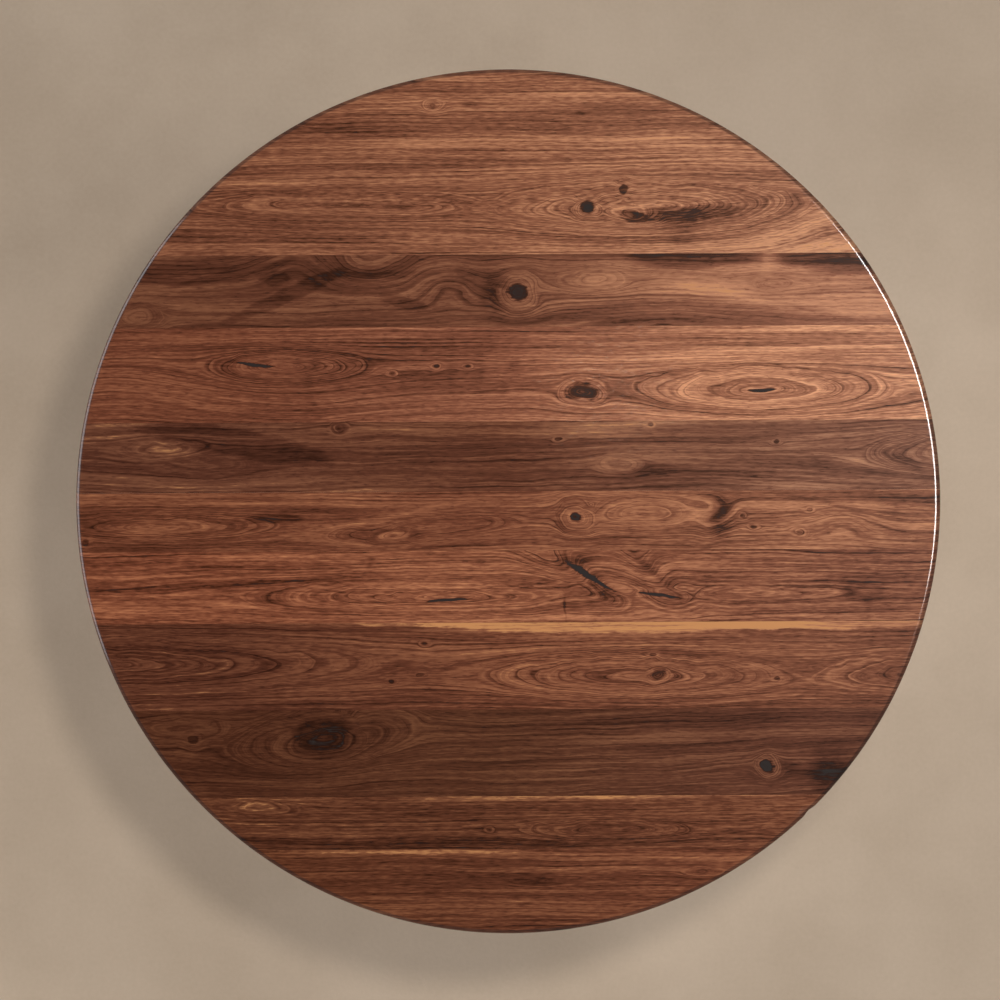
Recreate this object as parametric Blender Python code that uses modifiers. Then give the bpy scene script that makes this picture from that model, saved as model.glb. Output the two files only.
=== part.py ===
"""A round tilt-top pedestal table in walnut, in metres, +Z up.

The origin is on the floor under the middle of the top. The boards run along X. The top turns up about an
axis along X near the front edge of the block, and a spring catch behind the block holds it flat.
"""

import math

import bmesh
import bpy

# The whole table
TABLE_HEIGHT = 0.762
GAP = 0.0003  # between two pieces that touch

# The round top, edge-glued from boards; widths run from the back edge to the front edge
TOP_THICKNESS = 0.028
BOARD_WIDTHS = (0.229, 0.089, 0.117, 0.086, 0.073, 0.089, 0.107, 0.107, 0.065, 0.105)
TOP_RADIUS = sum(BOARD_WIDTHS) / 2
TOP_ROUNDOVER = 0.006
UNDER_ARRIS = 0.003
RIM_SEGMENTS = 120
UNDERSIDE = TABLE_HEIGHT - TOP_THICKNESS

# The block on the column, rounded about the pivot at its front edge
BLOCK_SIDE = 0.200
BLOCK_THICKNESS = 0.044
BLOCK_TOP = UNDERSIDE - GAP
BLOCK_BOTTOM = BLOCK_TOP - BLOCK_THICKNESS
BLOCK_ARRIS = 0.0015
PIVOT_Y = BLOCK_THICKNESS / 2 - BLOCK_SIDE / 2
PIVOT_Z = BLOCK_TOP - BLOCK_THICKNESS / 2

# The two bearers across the boards
BEARER_WIDTH = 0.028
BEARER_LENGTH = 0.860
BEARER_DEPTH = 0.048
BEARER_TIP_DEPTH = 0.021
BEARER_LEVEL_HALF = 0.150  # from the middle to where the taper starts
BEARER_ARRIS = 0.002
WASHER_THICKNESS = 0.001
BEARER_INNER_X = BLOCK_SIDE / 2 + WASHER_THICKNESS + 2 * GAP
BEARER_X = BEARER_INNER_X + BEARER_WIDTH / 2
BEARER_SCREW_Y = (0.375, 0.155, -0.024, -0.203, -0.396)
SCREW_SEAT = 0.016  # wood left under each head
SLOT_TRAVEL = 0.006  # room for the top to swell and shrink

# Pivot bolts
PIVOT_RADIUS = 0.005
PIVOT_IN_BLOCK = 0.036
PIVOT_HEAD_RADIUS = 0.011
PIVOT_HEAD_HEIGHT = 0.005

# The catch under the top, behind the block
CATCH_FRONT = BLOCK_SIDE / 2 + 0.0023
CATCH_LENGTH = 0.056
CATCH_FLANGE_WIDTH = 0.052
CATCH_FLANGE = 0.0025
CATCH_CASE_WIDTH = 0.026
CATCH_CASE_DEPTH = 0.0145
BOLT_WIDTH = 0.014
BOLT_DEPTH = 0.010
BOLT_LENGTH = 0.044
BOLT_THROW = 0.0075
BOLT_TRAVEL = 0.009
BOLT_TOP = UNDERSIDE - GAP - CATCH_FLANGE - 3 * GAP
BOLT_Z = BOLT_TOP - BOLT_DEPTH / 2
BOLT_TIP_Y = BLOCK_SIDE / 2 - BOLT_THROW
KNOB_Y = BOLT_TIP_Y + 0.026
SPRING_RADIUS = 0.0036
SPRING_WIRE = 0.0009
SPRING_TURNS = 6
STRIKE_WIDTH = 0.044
STRIKE_HEIGHT = 0.0187
STRIKE_THICKNESS = 0.002

# Column, hub and legs
COLUMN_SEGMENTS = 32
HUB_RADIUS = 0.052
HUB_BOTTOM = 0.115
HUB_TOP = 0.284
TENON_RADIUS = 0.025
WEDGE_DEPTH = 0.030
WEDGE_X = 0.010
LEG_COUNT = 4
LEG_THICKNESS = 0.038
LEG_TOE_THICKNESS = 0.030
LEG_ROUNDING = 0.004
LEG_TOP = 0.262
LEG_REACH = 0.446
LEG_FACE = 0.0485  # distance from the axis to the flats that the legs meet
GLIDE_R = 0.412
GLIDE_RADIUS = 0.011
GLIDE_HEIGHT = 0.006
DOVETAIL_DEPTH = 0.0145
DOVETAIL_NECK = 0.0065
DOVETAIL_TAIL = 0.0095
DOVETAIL_TOP = 0.235
PLATE_THICKNESS = 0.003
PLATE_ARM = 0.088
PLATE_ARM_WIDTH = 0.024
PLATE_SCREW_R = 0.074

ALONG_X = (math.pi / 2, 0, math.pi / 2)  # lays an outline of Y and Z points flat across X
UPRIGHT = (math.pi / 2, 0, 0)  # lays an outline of X and Z points flat across Y


def clear_scene():
    for obj in list(bpy.data.objects):
        bpy.data.objects.remove(obj)


def new_collection(name):
    collection = bpy.data.collections.new(name)
    bpy.context.scene.collection.children.link(collection)
    return collection


def new_material(name, colour, roughness, metallic=0.0):
    material = bpy.data.materials.new(name)
    material.use_nodes = True
    shader = material.node_tree.nodes["Principled BSDF"]
    shader.inputs["Base Color"].default_value = (*colour, 1)
    shader.inputs["Roughness"].default_value = roughness
    shader.inputs["Metallic"].default_value = metallic
    return material


clear_scene()
TABLE = new_collection("tilt_top_table")
CUTTERS = new_collection("cutters")
CUTTERS.hide_render = True
WALNUT = new_material("walnut", (0.19, 0.085, 0.045), 0.4)
DARK_WALNUT = new_material("dark_walnut", (0.13, 0.06, 0.035), 0.45)
MAPLE = new_material("maple", (0.55, 0.38, 0.22), 0.5)
BRASS = new_material("brass", (0.62, 0.42, 0.16), 0.3, 1.0)
STEEL = new_material("steel", (0.12, 0.12, 0.12), 0.45, 1.0)
NYLON = new_material("nylon", (0.05, 0.05, 0.05), 0.6)


# ---- ways of making a shape


def add_object(name, data, material=None, place=(0, 0, 0), turn=(0, 0, 0), collection=TABLE):
    obj = bpy.data.objects.new(name, data)
    obj.location = place
    obj.rotation_euler = turn
    if material and not data.materials:
        data.materials.append(material)
    collection.objects.link(obj)
    return obj


def as_cutter(obj):
    for collection in list(obj.users_collection):
        collection.objects.unlink(obj)
    CUTTERS.objects.link(obj)
    obj.hide_render = True
    obj.display_type = "WIRE"
    return obj


def mesh_of(obj, weld=1e-6):
    """The finished mesh of an object, welded; the object itself is removed."""
    bpy.context.view_layer.update()
    graph = bpy.context.evaluated_depsgraph_get()
    mesh = bpy.data.meshes.new_from_object(obj.evaluated_get(graph))
    bm = bmesh.new()
    bm.from_mesh(mesh)
    bmesh.ops.remove_doubles(bm, verts=bm.verts, dist=weld)
    bm.to_mesh(mesh)
    bm.free()
    mesh.name = obj.name
    bpy.data.objects.remove(obj)
    return mesh


def box_mesh(name, size):
    bm = bmesh.new()
    bmesh.ops.create_cube(bm, size=1)
    bmesh.ops.scale(bm, vec=size, verts=bm.verts)
    mesh = bpy.data.meshes.new(name)
    bm.to_mesh(mesh)
    bm.free()
    return mesh


def box_cutter(name, low, high):
    size = [b - a for a, b in zip(low, high)]
    middle = [(a + b) / 2 for a, b in zip(low, high)]
    return as_cutter(add_object(name, box_mesh(name, size), place=middle))


def rod_cutter(name, radius, start, length, turn=(0, 0, 0), segments=16):
    """A round cutter whose lower end is at start; turn swings it from +Z about that end."""
    bm = bmesh.new()
    bmesh.ops.create_cone(
        bm, cap_ends=True, segments=segments, radius1=radius, radius2=radius, depth=length
    )
    bmesh.ops.translate(bm, vec=(0, 0, length / 2), verts=bm.verts)
    mesh = bpy.data.meshes.new(name)
    bm.to_mesh(mesh)
    bm.free()
    return as_cutter(add_object(name, mesh, place=start, turn=turn))


def flat_mesh(name, outline, thickness):
    """An outline in the XY plane, thickened evenly to both sides of it."""
    curve = bpy.data.curves.new(name, "CURVE")
    curve.dimensions = "2D"
    curve.fill_mode = "BOTH"
    curve.extrude = thickness / 2
    spline = curve.splines.new("POLY")
    spline.points.add(len(outline) - 1)
    for point, (x, y) in zip(spline.points, outline):
        point.co = (x, y, 0, 1)
    spline.use_cyclic_u = True
    return mesh_of(add_object(name, curve))


def turned(name, profile, segments, material=None, place=(0, 0, 0), turn=(0, 0, 0)):
    """A profile of (radius, height) points, outer side running down, turned about Z."""
    mesh = bpy.data.meshes.new(name)
    edges = [(i, i + 1) for i in range(len(profile) - 1)]
    mesh.from_pydata([(r, 0, z) for r, z in profile], edges, [])
    obj = add_object(name, mesh, material, place, turn)
    lathe = obj.modifiers.new("lathe", "SCREW")
    lathe.steps = lathe.render_steps = segments
    lathe.use_merge_vertices = True
    lathe.merge_threshold = 1e-6
    lathe.use_smooth_shade = True
    return obj


def boolean(obj, cutter, operation="DIFFERENCE"):
    modifier = obj.modifiers.new(f"{operation.lower()} {cutter.name}", "BOOLEAN")
    modifier.operation = operation
    modifier.object = cutter


def soften(obj, width, segments=2):
    edge = obj.modifiers.new("arris", "BEVEL")
    edge.width = width
    edge.segments = segments
    edge.limit_method = "ANGLE"
    edge.angle_limit = math.radians(40)


def arc(centre, radius, start, end, count):
    """Points on an arc, in degrees, both ends included."""
    angles = [math.radians(start + (end - start) * i / count) for i in range(count + 1)]
    return [(centre[0] + radius * math.cos(a), centre[1] + radius * math.sin(a)) for a in angles]


def bezier(p0, p1, p2, p3, count):
    """Points on a cubic curve, both ends included."""
    points = []
    for i in range(count + 1):
        t = i / count
        weights = ((1 - t) ** 3, 3 * (1 - t) ** 2 * t, 3 * (1 - t) * t**2, t**3)
        points.append(tuple(sum(w * p[k] for w, p in zip(weights, (p0, p1, p2, p3))) for k in (0, 1)))
    return points


def stadium(length, width, count=4):
    """A slot outline along Y, centred."""
    reach = (length - width) / 2
    return arc((0, reach), width / 2, 0, 180, count) + arc((0, -reach), width / 2, 180, 360, count)


# ---- screws: a head whose flat underside is at z = 0 and a shank that runs up +Z from it


def pan_screw_mesh(name, shank_radius, length, head_radius, head_height):
    dome = arc((0, -head_height * 0.35), head_radius, 0, -90, 2)
    dome = [(r, -head_height * 0.35 + (z + head_height * 0.35) * 0.65 * head_height / head_radius)
            for r, z in dome]
    profile = [(0, length), (shank_radius * 0.3, length), (shank_radius, length - 3 * shank_radius),
               (shank_radius, 0), (head_radius, 0), *dome]
    screw = turned(name, profile, 12)
    slot = box_cutter(name + "_slot", (-2 * head_radius, -0.0006, -2 * head_height),
                      (2 * head_radius, 0.0006, -0.55 * head_height))
    boolean(screw, slot)
    return mesh_of(screw)


def sunk_screw_mesh(name, shank_radius, length, head_radius):
    """A countersunk screw: the head's flat top is at z = 0."""
    cone = head_radius - shank_radius
    profile = [(0, length), (shank_radius * 0.3, length), (shank_radius, length - 3 * shank_radius),
               (shank_radius, cone + 0.0004), (head_radius, 0.0004), (head_radius, 0), (0, 0)]
    screw = turned(name, profile, 12)
    slot = box_cutter(name + "_slot", (-2 * head_radius, -0.0005, -0.001),
                      (2 * head_radius, 0.0005, 0.0008))
    boolean(screw, slot)
    return mesh_of(screw)


def sunk_hole(name, shank_radius, length, head_radius, place, turn=(0, 0, 0)):
    """The cutter for a countersunk screw, a gap larger all round and open past the head."""
    cone = head_radius - shank_radius
    r, h = shank_radius + GAP, head_radius + GAP
    profile = [(0, length + GAP), (r, length + GAP), (r, cone + 0.0004 + GAP), (h, 0.0004 + GAP),
               (h, -0.002), (0, -0.002)]
    return as_cutter(turned(name, profile, 12, place=place, turn=turn))


# ---- the top


def round_top_mesh():
    """The whole top as one disc, with its rounded rim, before it is divided into boards."""
    bm = bmesh.new()
    bmesh.ops.create_cone(
        bm, cap_ends=True, segments=RIM_SEGMENTS, radius1=TOP_RADIUS, radius2=TOP_RADIUS,
        depth=TOP_THICKNESS
    )
    for sign, width, steps in ((1, TOP_ROUNDOVER, 3), (-1, UNDER_ARRIS, 1)):
        rim = [e for e in bm.edges if all(v.co.z * sign > 0 for v in e.verts) and len(e.link_faces) == 2
               and any(len(f.verts) > 4 for f in e.link_faces)]
        bmesh.ops.bevel(bm, geom=rim, offset=width, segments=steps, profile=0.5, affect="EDGES")
    mesh = bpy.data.meshes.new("round_top")
    bm.to_mesh(mesh)
    bm.free()
    mesh.shade_smooth()
    mesh.set_sharp_from_angle(angle=math.radians(30))
    return mesh


def make_boards():
    disc = round_top_mesh()
    boards = []
    back = TOP_RADIUS
    margin = 0.02
    for number, width in enumerate(BOARD_WIDTHS, start=1):
        front = back - width
        board = add_object(f"top_board_{number:02d}", disc, WALNUT,
                           place=(0, 0, TABLE_HEIGHT - TOP_THICKNESS / 2))
        high = back + margin if number == 1 else back - GAP / 2
        low = front - margin if number == len(BOARD_WIDTHS) else front + GAP / 2
        slab = box_cutter(f"slab_{number:02d}", (-TOP_RADIUS - margin, low, UNDERSIDE - margin),
                          (TOP_RADIUS + margin, high, TABLE_HEIGHT + margin))
        boolean(board, slab, "INTERSECT")
        boards.append((low, high, board))
        back = front
    return boards


def board_at(boards, y):
    return next(board for low, high, board in boards if low < y < high)


def bearer_outline():
    """Y and Z points: level along the top, tapered in an S curve to each tip underneath."""
    half, level = BEARER_LENGTH / 2, BEARER_LEVEL_HALF
    top = UNDERSIDE - GAP
    tip, deep = top - BEARER_TIP_DEPTH, top - BEARER_DEPTH
    pull = (half - level) * 0.45
    taper = bezier((half, tip), (half - pull, tip), (level + pull, deep), (level, deep), 7)
    mirrored = [(-y, z) for y, z in reversed(taper)]
    return [(half, top), *taper, *mirrored, (-half, top)]


def make_bearers(boards):
    mesh = flat_mesh("bearer", bearer_outline(), BEARER_WIDTH)
    screw = pan_screw_mesh("bearer_screw", 0.0025, 0.032, 0.005, 0.0032)
    seat_z = UNDERSIDE - GAP - SCREW_SEAT
    for side, sign in (("left", -1), ("right", 1)):
        x = sign * BEARER_X
        bearer = add_object(f"bearer_{side}", mesh, DARK_WALNUT, place=(x, 0, 0), turn=ALONG_X)
        soften(bearer, BEARER_ARRIS, 1)
        reach = BEARER_WIDTH + 0.02
        hole = rod_cutter(f"pivot_hole_{side}", PIVOT_RADIUS + GAP,
                          (x - reach / 2, PIVOT_Y, PIVOT_Z), reach, (0, math.pi / 2, 0), 24)
        boolean(bearer, hole)
        for row, y in enumerate(BEARER_SCREW_Y, start=1):
            tag = f"{side}_{row}"
            place = (x, y, seat_z - GAP)
            add_object(f"bearer_screw_{tag}", screw, BRASS, place=place)
            slot = flat_mesh(f"slot_{tag}", stadium(0.0058 + SLOT_TRAVEL, 0.0058), 0.06)
            boolean(bearer, as_cutter(add_object(f"slot_{tag}", slot, place=(x, y, seat_z))))
            well = flat_mesh(f"well_{tag}", stadium(0.013 + SLOT_TRAVEL, 0.013, 5), 0.06)
            boolean(bearer, as_cutter(add_object(f"well_{tag}", well, place=(x, y, seat_z - 0.03))))
            pilot = rod_cutter(f"pilot_{tag}", 0.0029, (x, y, UNDERSIDE - 0.004), 0.0215, segments=12)
            boolean(board_at(boards, y), pilot)


# ---- the catch


def make_catch(boards):
    flange_top = UNDERSIDE - GAP
    flange_low = flange_top - CATCH_FLANGE
    back = CATCH_FRONT + CATCH_LENGTH
    middle_y = CATCH_FRONT + CATCH_LENGTH / 2
    case = add_object("catch_case", box_mesh("catch_case", (CATCH_FLANGE_WIDTH, CATCH_LENGTH, CATCH_FLANGE)),
                      BRASS, place=(0, middle_y, flange_top - CATCH_FLANGE / 2))
    bury = 0.001
    body = box_cutter("catch_body", (-CATCH_CASE_WIDTH / 2, CATCH_FRONT + 0.0005, flange_low - CATCH_CASE_DEPTH),
                      (CATCH_CASE_WIDTH / 2, back - 0.0005, flange_low + bury))
    boolean(case, body, "UNION")
    side, wall = BOLT_WIDTH / 2 + GAP, 0.003
    boolean(case, box_cutter("catch_channel", (-side, CATCH_FRONT - 0.01, BOLT_TOP - BOLT_DEPTH - GAP),
                             (side, back - wall, BOLT_TOP + GAP)))
    slot = flat_mesh("knob_slot", stadium(BOLT_TRAVEL + 0.0064, 0.0064), 0.02)
    boolean(case, as_cutter(add_object("knob_slot", slot,
                                       place=(0, KNOB_Y + BOLT_TRAVEL / 2, BOLT_TOP - BOLT_DEPTH - 0.006))))

    screw = sunk_screw_mesh("catch_screw", 0.00175, 0.016, 0.0036)
    number = 0
    for x in (-0.0195, 0.0195):
        for y in (CATCH_FRONT + 0.009, back - 0.009):
            number += 1
            place = (x, y, flange_low)
            add_object(f"catch_screw_{number}", screw, BRASS, place=place)
            boolean(case, sunk_hole(f"catch_screw_hole_{number}", 0.00175, 0.016, 0.0036, place))
            pilot = rod_cutter(f"catch_pilot_{number}", 0.0022, (x, y, UNDERSIDE - 0.002), 0.0165,
                               segments=12)
            boolean(board_at(boards, y), pilot)

    tip, rear = BOLT_TIP_Y, BOLT_TIP_Y + BOLT_LENGTH
    low = BOLT_TOP - BOLT_DEPTH
    outline = [(tip, BOLT_TOP), (tip, BOLT_TOP - 0.003), (tip + 0.0065, low), (rear, low), (rear, BOLT_TOP)]
    bolt = add_object("catch_bolt", flat_mesh("catch_bolt", outline, BOLT_WIDTH), BRASS, turn=ALONG_X)
    boolean(bolt, rod_cutter("stud_hole", 0.0023, (0, KNOB_Y, low - 0.004), 0.0103, segments=16))

    knob_top = flange_low - CATCH_CASE_DEPTH - 2 * GAP
    stem = 0.0029
    knob_profile = [(0, low + 0.006), (0.002, low + 0.006), (0.002, low - GAP), (stem, low - GAP),
                    (stem, knob_top), (0.0062, knob_top),
                    *arc((0.0052, knob_top - 0.0032), 0.0024, 60, -70, 3),
                    (0.0042, knob_top - 0.0068), (0.0038, knob_top - 0.0075),
                    *arc((0, knob_top - 0.0075), 0.0038, -20, -90, 2)]
    turned("catch_knob", knob_profile, 16, BRASS, place=(0, KNOB_Y, 0))

    make_spring(rear + GAP, back - wall - GAP)


def make_spring(front, back):
    """A coil along Y between the bolt and the back of its channel, with a flat turn at each end."""
    per_turn = 10
    ends = SPRING_WIRE / 2
    start, stop = front + ends, back - ends
    curve = bpy.data.curves.new("catch_spring", "CURVE")
    curve.dimensions = "3D"
    curve.bevel_depth = SPRING_WIRE / 2
    curve.bevel_resolution = 1
    curve.use_fill_caps = True
    spline = curve.splines.new("POLY")
    total = per_turn * SPRING_TURNS
    spline.points.add(total)
    lift = SPRING_WIRE * 1.15
    for i, point in enumerate(spline.points):
        turn = i / per_turn
        if turn <= 1:
            y = start + lift * turn
        elif turn >= SPRING_TURNS - 1:
            y = stop - lift * (SPRING_TURNS - turn)
        else:
            share = (turn - 1) / (SPRING_TURNS - 2)
            y = start + lift + (stop - start - 2 * lift) * share
        angle = 2 * math.pi * turn
        point.co = (SPRING_RADIUS * math.cos(angle), y, BOLT_Z + SPRING_RADIUS * math.sin(angle), 1)
    add_object("catch_spring", curve, STEEL)


def make_strike(block):
    face = BLOCK_SIDE / 2
    back = face - STRIKE_THICKNESS
    top = BLOCK_TOP - GAP
    low = top - STRIKE_HEIGHT
    half = STRIKE_WIDTH / 2
    strike = add_object("strike_plate", box_mesh("strike_plate", (STRIKE_WIDTH, STRIKE_THICKNESS, STRIKE_HEIGHT)),
                        BRASS, place=(0, face - STRIKE_THICKNESS / 2, (top + low) / 2))
    boolean(block, box_cutter("strike_recess", (-half - GAP, back - GAP, low - GAP),
                              (half + GAP, face + 0.01, BLOCK_TOP + 0.01)))
    room = 2 * GAP
    side = BOLT_WIDTH / 2 + room
    window_low, window_top = BOLT_TOP - BOLT_DEPTH - room, BOLT_TOP + room
    boolean(strike, box_cutter("strike_window", (-side, back - 0.01, window_low), (side, face + 0.01, window_top)))
    boolean(block, box_cutter("bolt_pocket", (-side - GAP, BOLT_TIP_Y - 0.003, window_low - GAP),
                              (side + GAP, face + 0.01, window_top + GAP)))
    screw = sunk_screw_mesh("strike_screw", 0.0015, 0.014, 0.003)
    for number, x in enumerate((-0.0155, 0.0155), start=1):
        place, turn = (x, face, BOLT_Z - 0.001), (math.pi / 2, 0, 0)
        add_object(f"strike_screw_{number}", screw, BRASS, place=place, turn=turn)
        hole = sunk_hole(f"strike_screw_hole_{number}", 0.0015, 0.014, 0.003, place, turn)
        boolean(strike, hole)
        boolean(block, hole)


# ---- block, pivots and column


def block_outline():
    """Y and Z points: square behind, and rounded about the pivot at the top of the front edge."""
    half, radius = BLOCK_SIDE / 2, BLOCK_THICKNESS / 2
    nose = arc((PIVOT_Y, PIVOT_Z), radius, 90, 180, 8)
    return [(half, BLOCK_BOTTOM), (half, BLOCK_TOP), *nose, (-half, BLOCK_BOTTOM)]


def make_block():
    block = add_object("block", flat_mesh("block", block_outline(), BLOCK_SIDE), DARK_WALNUT, turn=ALONG_X)
    soften(block, BLOCK_ARRIS)
    boolean(block, rod_cutter("tenon_hole", TENON_RADIUS + 2 * GAP, (0, 0, BLOCK_BOTTOM - 0.01),
                              BLOCK_THICKNESS + 0.02, segments=COLUMN_SEGMENTS))
    return block


def make_pivots(block):
    head_face = BEARER_INNER_X + BEARER_WIDTH + GAP
    inner = BLOCK_SIDE / 2 - PIVOT_IN_BLOCK
    length = head_face - inner
    dome = [(PIVOT_HEAD_RADIUS * math.cos(math.radians(a)), -0.0015 - (PIVOT_HEAD_HEIGHT - 0.0015) * math.sin(math.radians(a)))
            for a in (0, 35, 65, 90)]
    profile = [(0, length), (PIVOT_RADIUS - 0.001, length), (PIVOT_RADIUS, length - 0.001),
               (PIVOT_RADIUS, 0), (PIVOT_HEAD_RADIUS, 0), *dome]
    pin = turned("pivot_bolt", profile, 24)
    slot = box_cutter("pivot_slot", (-0.02, -0.0008, -0.02), (0.02, 0.0008, -PIVOT_HEAD_HEIGHT + 0.0016))
    boolean(pin, slot)
    pin_mesh = mesh_of(pin)
    hole, rim, half = PIVOT_RADIUS + GAP, 0.012, WASHER_THICKNESS / 2
    ring = turned("washer", [(hole, half), (rim, half), (rim, -half), (hole, -half), (hole, half)], 24)
    washer_mesh = mesh_of(ring)
    for side, sign in (("left", -1), ("right", 1)):
        turn = (0, -sign * math.pi / 2, 0)
        add_object(f"pivot_bolt_{side}", pin_mesh, BRASS, place=(sign * head_face, PIVOT_Y, PIVOT_Z), turn=turn)
        washer_x = sign * (BLOCK_SIDE / 2 + GAP + WASHER_THICKNESS / 2)
        add_object(f"pivot_washer_{side}", washer_mesh, BRASS, place=(washer_x, PIVOT_Y, PIVOT_Z), turn=turn)
        start = (sign * (BLOCK_SIDE / 2 + 0.005), PIVOT_Y, PIVOT_Z)
        boolean(block, rod_cutter(f"pivot_socket_{side}", PIVOT_RADIUS + GAP, start,
                                  PIVOT_IN_BLOCK + 0.005 + 2 * GAP, turn, 24))


def column_profile():
    """Tenon, collar, long neck swelling to a vase, ring and hub."""
    tenon_top = BLOCK_TOP - 2 * GAP
    shoulder = BLOCK_BOTTOM - GAP
    neck, belly = (0.0275, 0.630), (0.0470, 0.352)
    waist = (0.0370, 0.302)
    return [
        (0, tenon_top), (TENON_RADIUS, tenon_top), (TENON_RADIUS, shoulder), (0.042, shoulder),
        *arc((0.040, shoulder - 0.006), 0.006, 60, -60, 3),
        *bezier((0.036, shoulder - 0.013), (0.029, shoulder - 0.016), (0.0275, 0.650), neck, 3),
        *bezier(neck, (0.0275, 0.530), (0.0470, 0.440), belly, 7)[1:],
        *bezier(belly, (0.0470, 0.325), (0.0400, 0.312), waist, 3)[1:],
        (0.041, 0.300),
        *arc((0.0475, 0.292), 0.0055, 80, -80, 4),
        (HUB_RADIUS - 0.002, HUB_TOP), (HUB_RADIUS, HUB_TOP - 0.002),
        (HUB_RADIUS, HUB_BOTTOM + 0.002), (HUB_RADIUS - 0.002, HUB_BOTTOM), (0, HUB_BOTTOM),
    ]


def dovetail_outline(room):
    """X and Y points of a leg's tail, wider inside the hub; room is added all round."""
    inner = LEG_FACE - DOVETAIL_DEPTH - room
    neck, tail = DOVETAIL_NECK + room, DOVETAIL_TAIL + room
    return [(inner, -tail), (LEG_FACE, -neck), (LEG_FACE + 0.008, -neck), (LEG_FACE + 0.008, neck),
            (LEG_FACE, neck), (inner, tail)]


def make_column(block):
    column = turned("column", column_profile(), COLUMN_SEGMENTS, DARK_WALNUT)
    tip = BLOCK_TOP - 2 * GAP
    for number, x in enumerate((-WEDGE_X, WEDGE_X), start=1):
        wide, fine = 0.0016, 0.0006
        sides = [(-fine, tip - WEDGE_DEPTH), (fine, tip - WEDGE_DEPTH), (wide, tip), (-wide, tip)]
        kerf = [(-fine - GAP, tip - WEDGE_DEPTH - GAP), (fine + GAP, tip - WEDGE_DEPTH - GAP),
                (wide + GAP + 0.0001, tip + 0.004), (-wide - GAP - 0.0001, tip + 0.004)]
        length = 2 * math.sqrt(TENON_RADIUS**2 - (WEDGE_X + wide) ** 2) - 0.001
        add_object(f"tenon_wedge_{number}", flat_mesh("tenon_wedge", sides, length), MAPLE,
                   place=(x, 0, 0), turn=UPRIGHT)
        cut = flat_mesh("wedge_kerf", kerf, 3 * TENON_RADIUS)
        boolean(column, as_cutter(add_object(f"wedge_kerf_{number}", cut, place=(x, 0, 0), turn=UPRIGHT)))
    for number in range(LEG_COUNT):
        angle = leg_angle(number)
        flat = box_mesh(f"leg_flat_{number + 1}", (0.02, 0.06, LEG_TOP - HUB_BOTTOM + 0.02))
        reach = LEG_FACE + 0.01
        middle = (LEG_TOP + 2 * GAP + HUB_BOTTOM - 0.02) / 2
        flat_cutter = as_cutter(add_object(
            f"leg_flat_{number + 1}", flat,
            place=(reach * math.cos(angle), reach * math.sin(angle), middle), turn=(0, 0, angle)))
        boolean(column, flat_cutter)
        height = DOVETAIL_TOP + GAP - HUB_BOTTOM + 0.01
        socket = flat_mesh(f"socket_{number + 1}", dovetail_outline(GAP), height)
        boolean(column, as_cutter(add_object(
            f"socket_{number + 1}", socket, place=(0, 0, DOVETAIL_TOP + GAP - height / 2),
            turn=(0, 0, angle))))
    return column


# ---- legs, glides and the plate under the hub


def leg_angle(number):
    return math.radians(45 + 360 * number / LEG_COUNT)


def leg_outline():
    """Distance out and height: level off the hub, an S curve down, and a rounded toe on the glide."""
    start = LEG_FACE + GAP
    sole = GLIDE_HEIGHT + GAP
    toe = 0.014
    upper = bezier((start, LEG_TOP), (0.132, LEG_TOP), (0.210, 0.040), (LEG_REACH - 0.020, 0.036), 12)
    nose = arc((LEG_REACH - toe, sole + toe), toe, 60, -90, 4)
    lower = bezier((0.376, sole), (0.235, sole), (0.170, HUB_BOTTOM), (0.104, HUB_BOTTOM), 10)
    return [*upper, *nose, *lower, (start, HUB_BOTTOM)]


def leg_mesh():
    """The sawn leg: thinner towards the toe, its long edges rounded and its end at the hub left square."""
    start = LEG_FACE + GAP
    bm = bmesh.new()
    bm.from_mesh(flat_mesh("leg", leg_outline(), LEG_THICKNESS))
    for v in bm.verts:
        share = (v.co.x - start) / (LEG_REACH - start)
        v.co.z *= 1 - share * (1 - LEG_TOE_THICKNESS / LEG_THICKNESS)
    long_edges = [
        e for e in bm.edges
        if e.verts[0].co.z * e.verts[1].co.z > 0
        and len(e.link_faces) == 2
        and e.calc_face_angle() > math.radians(40)
        and not all(abs(v.co.x - start) < 1e-6 for v in e.verts)
    ]
    bmesh.ops.bevel(bm, geom=long_edges, offset=LEG_ROUNDING, segments=2, profile=0.5, affect="EDGES")
    mesh = bpy.data.meshes.new("leg")
    bm.to_mesh(mesh)
    bm.free()
    return mesh


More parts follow.
